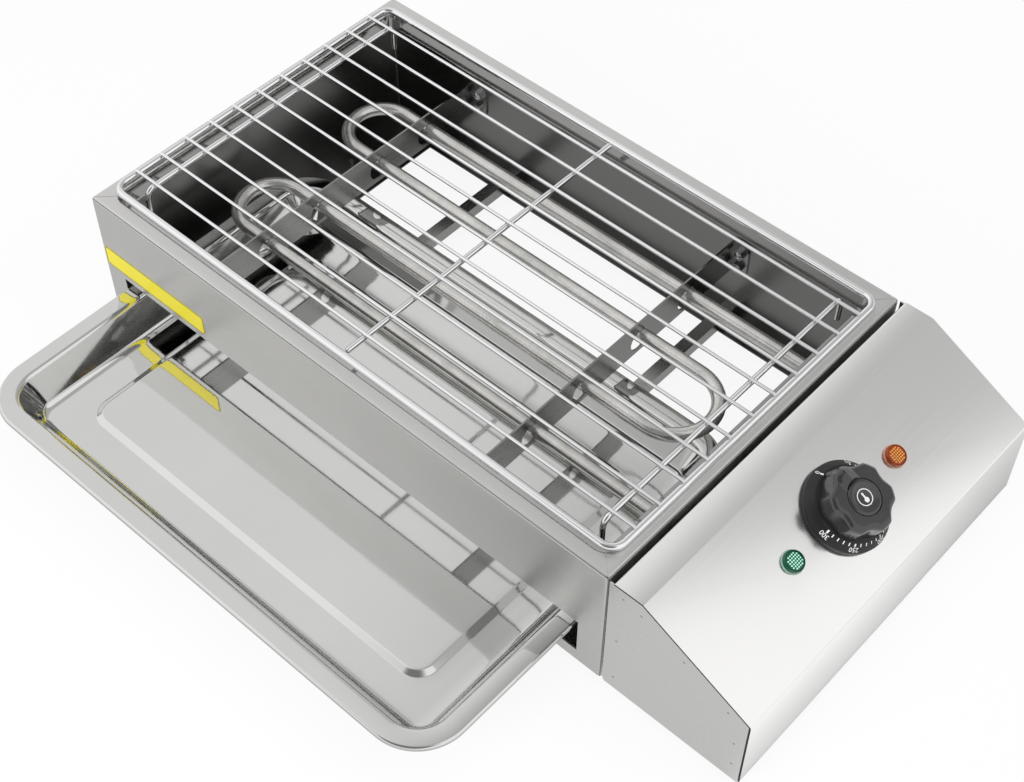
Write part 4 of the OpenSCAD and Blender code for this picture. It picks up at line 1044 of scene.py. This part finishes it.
@dataclass
class Dial:
    """Fixed scale ring, grip, cap and their white marks."""

    scale_r: float = 0.028
    scale_t: float = 0.0085
    rim_h: float = 0.0042
    top_r: float = 0.0235
    hole_r: float = 0.0052
    knob_r: float = 0.02175
    crown_r: float = 0.0215
    knob_h: float = 0.0138
    knob_gap: float = 0.0004
    hollow_h: float = 0.001
    hollow_wall: float = 0.003
    hollow_edge: float = 0.0028
    dish_depth: float = 0.0014
    cap_r: float = 0.0110
    cap_gap: float = 0.0003
    lobes: int = 6
    scoop_r: float = 0.013
    scoop_bite: float = 0.0012
    scoop_lean: float = 0.14
    scoop_blend: float = 0.0022
    crown_fillet: float = 0.0036
    tip_r: float = 0.0232
    tip_lean: float = 0.0012
    tip_face: float = 0.63
    ridge_h: float = 0.0024
    ridge_w: float = 0.0066
    tick_r: float = 0.0242
    long_tick: Flat = (0.0021, 0.00082)
    short_tick: Flat = (0.0021, 0.00062)
    end_tick: Flat = (0.0022, 0.0011)
    number_r: float = 0.0264
    number_h: float = 0.0029
    mark_t: float = 0.00006
    print_depth: float = 0.0001
    first_degrees: float = 1.7
    zero_degrees: float = -3.5
    degrees_per_mark: float = 44.3
    marks: int = 7
    value_per_mark: int = 50
    minor_per_mark: int = 5
    ring_r: float = 0.0052
    ring_w: float = 0.0006
    bulb_r: float = 0.0016
    bulb_x: float = 0.0018
    stem_w: float = 0.0012
    stem_l: float = 0.0044

    def build(self) -> None:
        """Makes the dial's pieces on the slope."""
        joint = next(j for j in frame["joints"] if j["name"] == "knob_turn")
        out = -Vector(joint["axis"]).normalized()
        down, across = Vector((out.z, 0.0, -out.x)), Vector((0.0, 1.0, 0.0))
        turned = Matrix((down, across, out)).transposed().to_4x4()
        self.place = Matrix.Translation(joint["pos_m"]) @ turned
        self.scale_ring()
        self.scale_marks()
        for i in range(self.marks):
            value = str(i * self.value_per_mark)
            number = self.number(value, self.degrees_at(i), f"dial_number_{value}")
            settle(number, "white_print", Body.ROOT)
        self.grip()
        self.cap()

    def cone_height(self, radius: float) -> float:
        """Gives the height of the ring's sloping face at a radius."""
        share = (self.scale_r - radius) / (self.scale_r - self.top_r)
        return self.rim_h + (self.scale_t - self.rim_h) * min(max(share, 0.0), 1.0)

    def cone_tilt(self) -> float:
        """Gives the angle by which the ring's face falls outwards, in radians."""
        return math.atan2(self.scale_t - self.rim_h, self.scale_r - self.top_r)

    def degrees_at(self, mark: float) -> float:
        """Gives the angle of a mark on the scale, which counts from zero."""
        return self.first_degrees + self.degrees_per_mark * mark if mark > 0 else self.zero_degrees

    def toward(self, degrees: float, radius: float, height: float) -> Vector:
        """Gives a dial's point by its clockwise angle from up the slope, radius and height."""
        turn = math.radians(degrees)
        return Vector((-math.cos(turn) * radius, math.sin(turn) * radius, height))

    def scale_ring(self) -> None:
        """Turns the scale ring with its sloping face."""
        r, t, rim, top, hole = self.scale_r, self.scale_t, self.rim_h, self.top_r, self.hole_r
        profile = [
            (hole, 0.0), (r - 0.0003, 0.0), (r, 0.0003), (r, rim - 0.0006), (r - 0.00015, rim - 0.0002),
            (r - 0.0005, rim + 0.0003), (top + 0.0005, t - 0.0004), (top + 0.0002, t - 0.0002),
            (top - 0.0004, t), (hole, t), (hole, 0.0),
        ]
        piece = turned_piece("dial_scale_ring", profile, self.place, steps=128)
        settle(piece, "scale_plastic", Body.ROOT, "dial_scale", angle=60.0)

    def scale_marks(self) -> None:
        """Adds the long and the short ticks."""
        top = self.cone_height(self.tick_r) + self.mark_t
        minor = self.minor_per_mark
        last = (self.marks - 1) * minor
        kinds = (
            ("dial_long_ticks", range(minor, last, minor), self.long_tick),
            ("dial_short_ticks", [i for i in range(minor, last) if i % minor], self.short_tick),
            ("dial_end_ticks", (0, last), self.end_tick),
        )
        for name, steps, size in kinds:
            angles = [self.degrees_at(i / minor) for i in steps]
            points = [self.toward(angle, self.tick_r, top) for angle in angles]
            turns = [math.pi - math.radians(angle) for angle in angles]
            size = (*size, self.mark_t)
            ticks = repeat_on_points(
                name, BAR_TREE, points, size, "white_print", self.place, turns, self.cone_tilt()
            )
            settle(ticks, "white_print", Body.ROOT)

    def number(self, words: str, degrees: float, name: str) -> Piece:
        """Makes one number as a thin raised print on the sloping face.

        Args:
            words: the digits.
            degrees: its angle on the scale.
            name: name of the new piece.

        Returns:
            The new object.
        """
        curve = bpy.data.curves.new(name, "FONT")
        curve.body = words
        curve.align_x = "CENTER"
        curve.resolution_u = 3
        holder = bpy.data.objects.new(name + "_text", curve)
        bpy.context.scene.collection.objects.link(holder)
        mesh = plain_mesh(holder)
        bpy.data.objects.remove(holder)
        mesh.name = name
        xs = [v.co.x for v in mesh.vertices]
        ys = [v.co.y for v in mesh.vertices]
        scale = self.number_h / (max(ys) - min(ys))
        middle = Vector(((max(xs) + min(xs)) / 2, (max(ys) + min(ys)) / 2, 0))
        lift = Vector((0, 0, self.mark_t))
        for v in mesh.vertices:
            flat = (v.co - middle) * scale
            radius = self.number_r + flat.y * math.cos(self.cone_tilt())
            turn = degrees + math.degrees(flat.x / self.number_r)
            v.co = self.place @ (self.toward(turn, radius, self.cone_height(radius)) + lift)
        piece = add_object(name, mesh)
        thicken(piece, self.mark_t)
        return piece

    def scooped(self, height: float, turn: float) -> float:
        """Gives the grip's radius at a height, with its scoops.

        Args:
            height: height above the grip's foot.
            turn: angle from the pointer, in radians.

        Returns:
            The radius, rounded where a scoop meets a lobe.
        """
        body = self.knob_r + (self.crown_r - self.knob_r) * height / self.knob_h
        pitch = 2 * math.pi / self.lobes
        off = (turn % pitch) - pitch / 2
        centre = self.knob_r + self.scoop_r - self.scoop_bite - self.scoop_lean * height
        reach = centre * math.sin(off)
        if abs(reach) >= self.scoop_r:
            return body
        scoop = centre * math.cos(off) - math.sqrt(self.scoop_r**2 - reach**2)
        soft = self.scoop_blend
        blend = max(soft - abs(scoop - body), 0.0) / soft
        return min(scoop, body) - blend * blend * soft / 4

    def ridge(self, radius: float, turn: float) -> float:
        """Gives the pointed ridge's height over the crown."""
        near = max(0.0, 1 - abs(radius * math.sin(turn)) / self.ridge_w)
        return self.ridge_h * near if abs(turn) <= math.pi / 2 else 0.0

    def grip(self) -> None:
        """Models the scooped grip with its pointed ridge."""
        foot = self.scale_t + self.knob_gap
        top = foot + self.knob_h
        crest = self.knob_h - self.crown_fillet
        dish = top - self.dish_depth
        cap_r = self.cap_r + self.cap_gap
        inner_r = self.crown_r - self.crown_fillet
        tiny = 1e-7
        side_steps, fillet_steps, top_steps = 16, 7, 8
        profile: list[Flat] = [
            (0.0, foot + self.hollow_h),
            (self.knob_r - self.hollow_wall, foot + self.hollow_h),
            (self.knob_r - self.hollow_edge, foot),
        ]
        for k in range(side_steps + 1):
            share = k / side_steps
            profile.append((self.knob_r + (self.crown_r - self.knob_r) * share, foot + crest * share))
        for k in range(1, fillet_steps + 1):
            angle = k / fillet_steps * math.pi / 2
            across, up = self.crown_fillet * math.cos(angle), self.crown_fillet * math.sin(angle)
            profile.append((inner_r + across, foot + crest + up))
        for k in range(1, top_steps + 1):
            profile.append((inner_r + (cap_r - inner_r) * k / top_steps, top))
        profile += [(cap_r, dish), (0.0, dish)]

        def shaped(radius: float, height: float, angle: float) -> Flat:
            """Cuts the scoops and raises the pointed ridge.

            Args:
                radius: radius of the plain turned grip.
                height: its height.
                angle: angle round the axis, in radians.

            Returns:
                The shaped radius and height.
            """
            if radius <= cap_r or height < foot + tiny and radius < self.knob_r - self.hollow_edge / 2:
                return radius, height
            turn = math.atan2(math.sin(angle - math.pi), math.cos(angle - math.pi))
            level = min(height - foot, crest)
            limit = self.scooped(level, turn)
            if abs(turn) < self.tip_face:
                tip = self.tip_r - self.tip_lean * level / self.knob_h
                limit = max(limit, tip * math.cos(self.tip_face) / math.cos(abs(turn) - self.tip_face))
            if height <= foot + crest + tiny and radius > inner_r:
                return limit, height
            up = min(max((height - foot - crest) / self.crown_fillet, 0.0), 1.0)
            if radius > inner_r + tiny:
                return limit - (self.crown_r - radius), height + up * self.ridge(limit, turn)
            r = cap_r + (limit - self.crown_fillet - cap_r) * (radius - cap_r) / (inner_r - cap_r)
            return r, height + up * self.ridge(r, turn)

        piece = turned_piece("knob_lobed_grip", profile, self.place, steps=288, bend=shaped)
        settle(piece, "knob_plastic", Body.KNOB, "knob_grip", angle=34.0)

    def cap(self) -> None:
        """Turns the cap and prints its round sign."""
        foot = self.scale_t + self.knob_gap + self.knob_h
        low = foot - self.dish_depth
        r = self.cap_r
        profile = [
            (0.0, low), (r - 0.0001, low), (r - 0.0001, foot - 0.0004), (r - 0.0003, foot + 0.0001),
            (r - 0.0010, foot + 0.0007), (r - 0.0018, foot + 0.0009), (r - 0.0027, foot + 0.0007),
            (r - 0.0038, foot + 0.0002), (r - 0.0052, foot), (0.0, foot),
        ]
        disc = turned_piece("knob_cap_disc", profile, self.place, steps=96)
        settle(disc, "knob_plastic", Body.KNOB, "knob_cap", angle=60.0)
        level = foot + self.mark_t
        under, inner = level - self.print_depth, self.ring_r - self.ring_w
        ring = [(inner, under), (self.ring_r, under), (self.ring_r, level), (inner, level), (inner, under)]
        settle(turned_piece("cap_ring", ring, self.place, steps=72), "white_print", Body.KNOB)
        self.cap_sign(level)

    def cap_sign(self, level: float) -> None:
        """Prints a small bulb with a stem in the ring.

        Args:
            level: height of the print's top.
        """
        bulb_steps, stem_steps = 20, 6
        half_w = self.stem_w / 2
        gap = math.asin(half_w / self.bulb_r)
        outline = []
        for k in range(bulb_steps + 1):
            angle = math.pi + gap + (2 * math.pi - 2 * gap) * k / bulb_steps
            outline.append((self.bulb_x + self.bulb_r * math.cos(angle), self.bulb_r * math.sin(angle)))
        for k in range(stem_steps + 1):
            angle = math.pi / 2 + math.pi * k / stem_steps
            outline.append((self.bulb_x - self.stem_l + half_w * math.cos(angle), half_w * math.sin(angle)))
        shape = bmesh.new()
        base, lid = (
            [shape.verts.new(self.place @ Vector((x, y, z))) for x, y in outline]
            for z in (level - self.print_depth, level)
        )
        shape.faces.new(lid)
        shape.faces.new(list(reversed(base)))
        bridge(shape, base, lid)
        settle(from_shape("cap_sign", shape), "white_print", Body.KNOB)


@dataclass
class Lamp:
    """Indicator lamp: pale flange, coloured rim and a beaded lens."""

    name: str
    place: Matrix
    flange_r: float = 0.0074
    flange_h: float = 0.0008
    flange_w: float = 0.0008
    rim_r: float = 0.0068
    rim_h: float = 0.0034
    lens_r: float = 0.0061
    lens_rise: float = 0.0010
    lens_depth: float = 0.0016
    core_gap: float = 0.0001
    core_sink: float = 0.0006
    bead_sink: float = 0.00065
    bead_pitch: float = 0.00155
    bead_d: float = 0.00118
    bead_h: float = 0.6
    facets: int = 64

    def build(self) -> None:
        """Makes the flange, the rim, the lens and its beads."""
        slot = f"lamp_{self.name}"
        low, top, edge = self.rim_h - self.lens_depth, self.rim_h, self.flange_h
        flange, r, lens = self.flange_r, self.rim_r, self.lens_r
        hole = r - self.flange_w
        ring = [
            (hole, 0.0), (flange - 0.0002, 0.0), (flange, 0.0002), (flange - 0.0001, edge * 0.6),
            (flange - 0.0005, edge), (hole, edge), (hole, 0.0),
        ]
        rim = [
            (0.0, 0.0), (r, 0.0), (r, top * 0.6), (r - 0.0001, top * 0.84), (r - 0.0003, top),
            (lens + 0.0002, top), (lens, top - 0.0002), (lens, low), (0.0, low),
        ]
        core = [(0.0, low + self.core_gap), (lens - self.core_gap, low + self.core_gap)]
        steps = 8
        for k in range(steps + 1):
            angle = k / steps * math.pi / 2
            radius = lens * math.cos(angle) - self.core_gap
            core.append((max(radius, 0.0), top - self.core_sink + self.lens_rise * math.sin(angle)))
        outer = turned_piece(f"{slot}_flange", ring, self.place, self.facets)
        settle(outer, f"flange_{self.name}", Body.ROOT, angle=50.0)
        bezel = turned_piece(f"{slot}_rim", rim, self.place, self.facets)
        settle(bezel, slot, Body.ROOT, f"{slot}_bezel", angle=50.0)
        settle(turned_piece(f"{slot}_core", core, self.place, self.facets), slot, Body.ROOT)
        self.beads()

    def beads(self) -> None:
        """Sets the lens's beads in a square lattice."""
        reach = int(self.lens_r / self.bead_pitch) + 1
        steps = [(i + 0.5) * self.bead_pitch for i in range(-reach, reach + 1)]
        points = []
        for x in steps:
            for y in steps:
                distance = math.hypot(x, y)
                if distance > self.lens_r - self.bead_d * 0.7:
                    continue
                rise = math.sqrt(max(1 - (distance / self.lens_r) ** 2, 0.0))
                points.append(Vector((x, y, self.rim_h - self.bead_sink + self.lens_rise * rise)))
        size = (self.bead_d, self.bead_d, self.bead_d * self.bead_h)
        # the beads carry painted glints: their finish is much lighter than the lens core's
        slot = f"lens_{self.name}"
        beads = repeat_on_points(f"lamp_{self.name}_beads", BEAD_TREE, points, size, slot, self.place)
        settle(beads, slot, Body.ROOT, f"lamp_{self.name}_lens", angle=60.0)


@dataclass
class ControlBox:
    """Folded cover, side panels, dial, lamps and spot welds of the control box."""

    lamp_offset: float = 0.0504
    edge_reach: float = 0.0005
    weld_d: float = 0.0017
    weld_h: float = 0.00016
    weld_shares: tuple[Flat, ...] = (
        (0.10, 0.93), (0.23, 0.90), (0.08, 0.49), (0.08, 0.11),
        (0.54, 0.77), (0.86, 0.61), (0.93, 0.36), (0.94, 0.15),
    )

    def build(self) -> None:
        """Makes the box's pieces."""
        for node in ("control_side_front", "control_side_back"):
            panel = merged_copy(node, node + "_sheet")
            settle(panel, "control_panels", Body.ROOT, node, finish="control_sides")
        self.cover()
        dial = Dial()
        dial.build()
        for name, side in (("green", -1), ("amber", 1)):
            place = dial.place.copy()
            place.translation = place.translation + Vector((0.0, side * self.lamp_offset, 0.0))
            Lamp(name, place).build()
        self.spot_welds()

    def cover(self) -> None:
        """Copies the bent cover and paints its cut edges near-black as the shadow of its seam."""
        finishes = ("control_panels", "seam_shadow_edge")
        piece = merged_copy("control_cover", "control_cover_sheet")
        for key in finishes:
            piece.data.materials.append(material(key))
        low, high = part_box("control_cover")
        for face in piece.data.polygons:
            at_end = min(face.center.y - low.y, high.y - face.center.y) < self.edge_reach
            looks_out = abs(face.normal.y) > 0.9
            # the cover's cut edges get the painted seam shadow
            if at_end and looks_out:
                face.material_index = finishes.index("seam_shadow_edge")
        settle(piece, "control_panels", Body.ROOT, "control_cover")

    def spot_welds(self) -> None:
        """Marks the spot welds of the front and the back side panel."""
        low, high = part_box("control_side_front")
        _, back_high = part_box("control_side_back")
        points = []
        for share_x, share_z in self.weld_shares:
            x = low.x + share_x * (high.x - low.x)
            z = low.z + share_z * (high.z - low.z)
            points += [Vector((x, y, z)) for y in (low.y, back_high.y)]
        size = (self.weld_d, self.weld_h, self.weld_d)
        welds = repeat_on_points("spot_welds", BEAD_TREE, points, size, "inner_steel")
        settle(welds, "inner_steel", Body.ROOT)


@dataclass(frozen=True)
class Trim:
    """Blades, rails, plates and small hardware, smoothed from their solids."""

    slot: str
    nodes: tuple[str, ...]

    def build(self) -> None:
        """Replaces each node by a smooth joined copy of itself."""
        for node in self.nodes:
            settle(merged_copy(node, node + "_piece"), self.slot, Body.ROOT, node)


TRIM = (
    Trim("blades", ("support_left", "support_right")),
    Trim("inner_steel", ("rail_left", "rail_right", "control_back_plate", "control_base")),
    Trim(
        "zinc",
        (
            "support_studs", "support_nuts", "foot_screws", "base_screws",
            "box_screws", "box_nuts", "box_spacers",
        ),
    ),
    Trim("brass", ("element_bushings", "element_nuts")),
    Trim("foot_rubber", ("feet",)),
    Trim("gland_plastic", ("cable_gland",)),
)


@dataclass
class Studio:
    """Camera, lamps, floor and surroundings."""

    eye: Color = (0.48145, -0.5114, 0.9138)
    azimuth: float = 41.8
    elevation: float = 50.5
    roll: float = 0.4
    focal_mm: float = 61.77
    sensor_mm: float = 36.0
    floor_size: float = 8.0
    floor_tone: float = 0.9
    floor_roughness: float = 0.9
    floor_share: float = 0.9
    # painted shade on the floor as reflections see it: darker towards -X and towards the back
    floor_shade_left: Fade = (0.25, 0.31, 0.60, 1.0)
    floor_shade_back: Fade = (0.02, 0.25, 1.0, 0.72)
    world_light: float = 0.5
    low_wall: Fade = (0.12, 0.45, 1.0, 0.0)
    walls: tuple[tuple[Color, Fade], ...] = (
        ((1.0, 0.3, 0.0), (-0.34, -0.10, 0.81, 0.50)),
        ((1.0, -0.7, 0.0), (0.075, 0.165, 0.0, 1.0)),
        ((0.5, 1.0, 0.0), (-0.32, -0.16, 1.0, 0.0)),
    )
    dark_room: float = 0.22
    dark_middle: Color = (0.20, -0.60, 0.77)
    dark_angles: Flat = (40.0, 24.0)
    lamp_rows: tuple[tuple[str, Color, float, float], ...] = (
        ("lamp_over", (0.1, 0.0, 2.2), 1.4, 9.0),
        ("lamp_front", (0.1, -1.9, 1.0), 1.3, 30.0),
        ("lamp_right", (1.7, 0.9, 1.9), 1.0, 12.0),
    )

    def build(self) -> None:
        """Makes the studio round the roaster."""
        self.camera()
        self.floor()
        self.world()
        for name, place, size, power in self.lamp_rows:
            self.lamp(name, Vector(place), size, power)
        bpy.context.scene.view_settings.view_transform = "Standard"

    def camera(self) -> None:
        """Places the camera at the photograph's viewing angle."""
        data = bpy.data.cameras.new("studio_camera")
        data.sensor_width = self.sensor_mm
        data.lens = self.focal_mm
        camera = bpy.data.objects.new("studio_camera", data)
        bpy.context.scene.collection.objects.link(camera)
        camera.matrix_world = Matrix.Translation(self.eye)
        for degrees, axis in ((self.azimuth, "Z"), (90.0 - self.elevation, "X"), (self.roll, "Z")):
            camera.matrix_world @= Matrix.Rotation(math.radians(degrees), 4, axis)
        bpy.context.scene.camera = camera

    def seen_rays(self, graph: Graph) -> Socket:
        """Adds the test for camera, transmission and glossy rays.

        Args:
            graph: the node graph to add to.

        Returns:
            A socket that is 1 for such rays.
        """
        rays = graph.add("ShaderNodeLightPath").outputs
        seen = graph.calculate("MAXIMUM", rays["Is Camera Ray"], rays["Is Transmission Ray"])
        return graph.calculate("MAXIMUM", seen, rays["Is Glossy Ray"])

    def white_to_camera(self, graph: Graph, level: Socket) -> Socket:
        """Raises a brightness to 1 for camera rays."""
        camera = graph.add("ShaderNodeLightPath").outputs["Is Camera Ray"]
        return graph.calculate("MAXIMUM", level, camera)

    def floor(self) -> None:
        """Lays a floor that shows white to the camera; in reflections it carries painted shade, darker towards -X
        and towards the back.
        """
        half = self.floor_size / 2
        corners = [(-half, -half, 0), (half, -half, 0), (half, half, 0), (-half, half, 0)]
        mesh = bpy.data.meshes.new("studio_floor")
        mesh.from_pydata(corners, [], [(0, 1, 2, 3)])
        floor = add_object("studio_floor", mesh)
        maker = MaterialMaker("white_floor_painted_shade")
        graph, shader = maker.graph, maker.shader
        shader.inputs["Base Color"].default_value = (*[self.floor_tone] * 3, 1.0)
        shader.inputs["Roughness"].default_value = self.floor_roughness
        shader.inputs["Specular IOR Level"].default_value = 0.0
        split = graph.add("ShaderNodeSeparateXYZ", {"Vector": maker.coordinates}).outputs
        # painted shade in the floor's glow for reflections; camera rays still see white
        right, back = graph.step(split["X"], *self.floor_shade_left), graph.step(split["Y"], *self.floor_shade_back)
        level = self.white_to_camera(graph, graph.calculate("MULTIPLY", right, back))
        glow = graph.add("ShaderNodeEmission", {"Color": WHITE, "Strength": level})
        share = graph.calculate("MULTIPLY", self.seen_rays(graph), self.floor_share)
        mix = graph.add("ShaderNodeMixShader", {0: share, 1: shader.outputs[0], 2: glow.outputs[0]})
        graph.feed(graph.tree.nodes["Material Output"].inputs["Surface"], mix.outputs[0])
        mesh.materials.append(maker.material)

    def world(self) -> None:
        """Sets the surround: white where the camera sees it, a lit studio in reflections."""
        world = bpy.data.worlds.new("studio_world")
        bpy.context.scene.world = world
        world.use_nodes = True
        graph = Graph(world.node_tree)
        lit = world.node_tree.nodes["Background"]
        lit.inputs["Color"].default_value = WHITE
        lit.inputs["Strength"].default_value = self.world_light
        way = graph.add("ShaderNodeTexCoord").outputs["Generated"]
        height = graph.add("ShaderNodeSeparateXYZ", {"Vector": way}).outputs["Z"]
        level = graph.step(height, *self.low_wall)
        for direction, fade in self.walls:
            level = graph.calculate("MAXIMUM", level, graph.step(graph.along(way, direction), *fade))
        outer, inner = (math.cos(math.radians(angle)) for angle in self.dark_angles)
        closeness = graph.along(way, tuple(Vector(self.dark_middle).normalized()))
        dark = graph.step(closeness, outer, inner, 0.0, 1.0)
        level = graph.step(dark, 0.0, 1.0, level, self.dark_room, kind="LINEAR")
        strength = self.white_to_camera(graph, level)
        seen = graph.add("ShaderNodeBackground", {"Color": WHITE, "Strength": strength})
        mixed = {0: self.seen_rays(graph), 1: lit.outputs[0], 2: seen.outputs[0]}
        mix = graph.add("ShaderNodeMixShader", mixed)
        graph.feed(world.node_tree.nodes["World Output"].inputs["Surface"], mix.outputs[0])

    def lamp(self, name: str, place: Vector, size: float, power: float) -> None:
        """Adds one large soft lamp that faces the roaster.

        Args:
            name: the lamp's name.
            place: where it hangs.
            size: its side.
            power: its power in watts.
        """
        data = bpy.data.lights.new(name, "AREA")
        data.size = size
        data.energy = power
        lamp = bpy.data.objects.new(name, data)
        lamp.visible_glossy = False
        bpy.context.scene.collection.objects.link(lamp)
        lamp.location = place
        lamp.rotation_euler = (-place).to_track_quat("-Z", "Y").to_euler()


def dress_nodes() -> None:
    """Gives every CAD node the material of its slot."""
    for part in frame["record"]["subparts"]:
        node = NODES[part["node"]]
        finish = material(part["material_slot"])
        if node.material_slots:
            for holder in node.material_slots:
                holder.material = finish
        else:
            node.data.materials.append(finish)


def main() -> None:
    """Builds the roaster's looks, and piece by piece."""
    logging.basicConfig(level=logging.INFO, format="%(name)s: %(message)s")
    Studio().build()
    dress_nodes()
    for part in (FireBox(), Grate(), HeatingElement(), WaterTray(), ControlBox(), *TRIM):
        part.build()


if __name__ == "__main__":
    main()
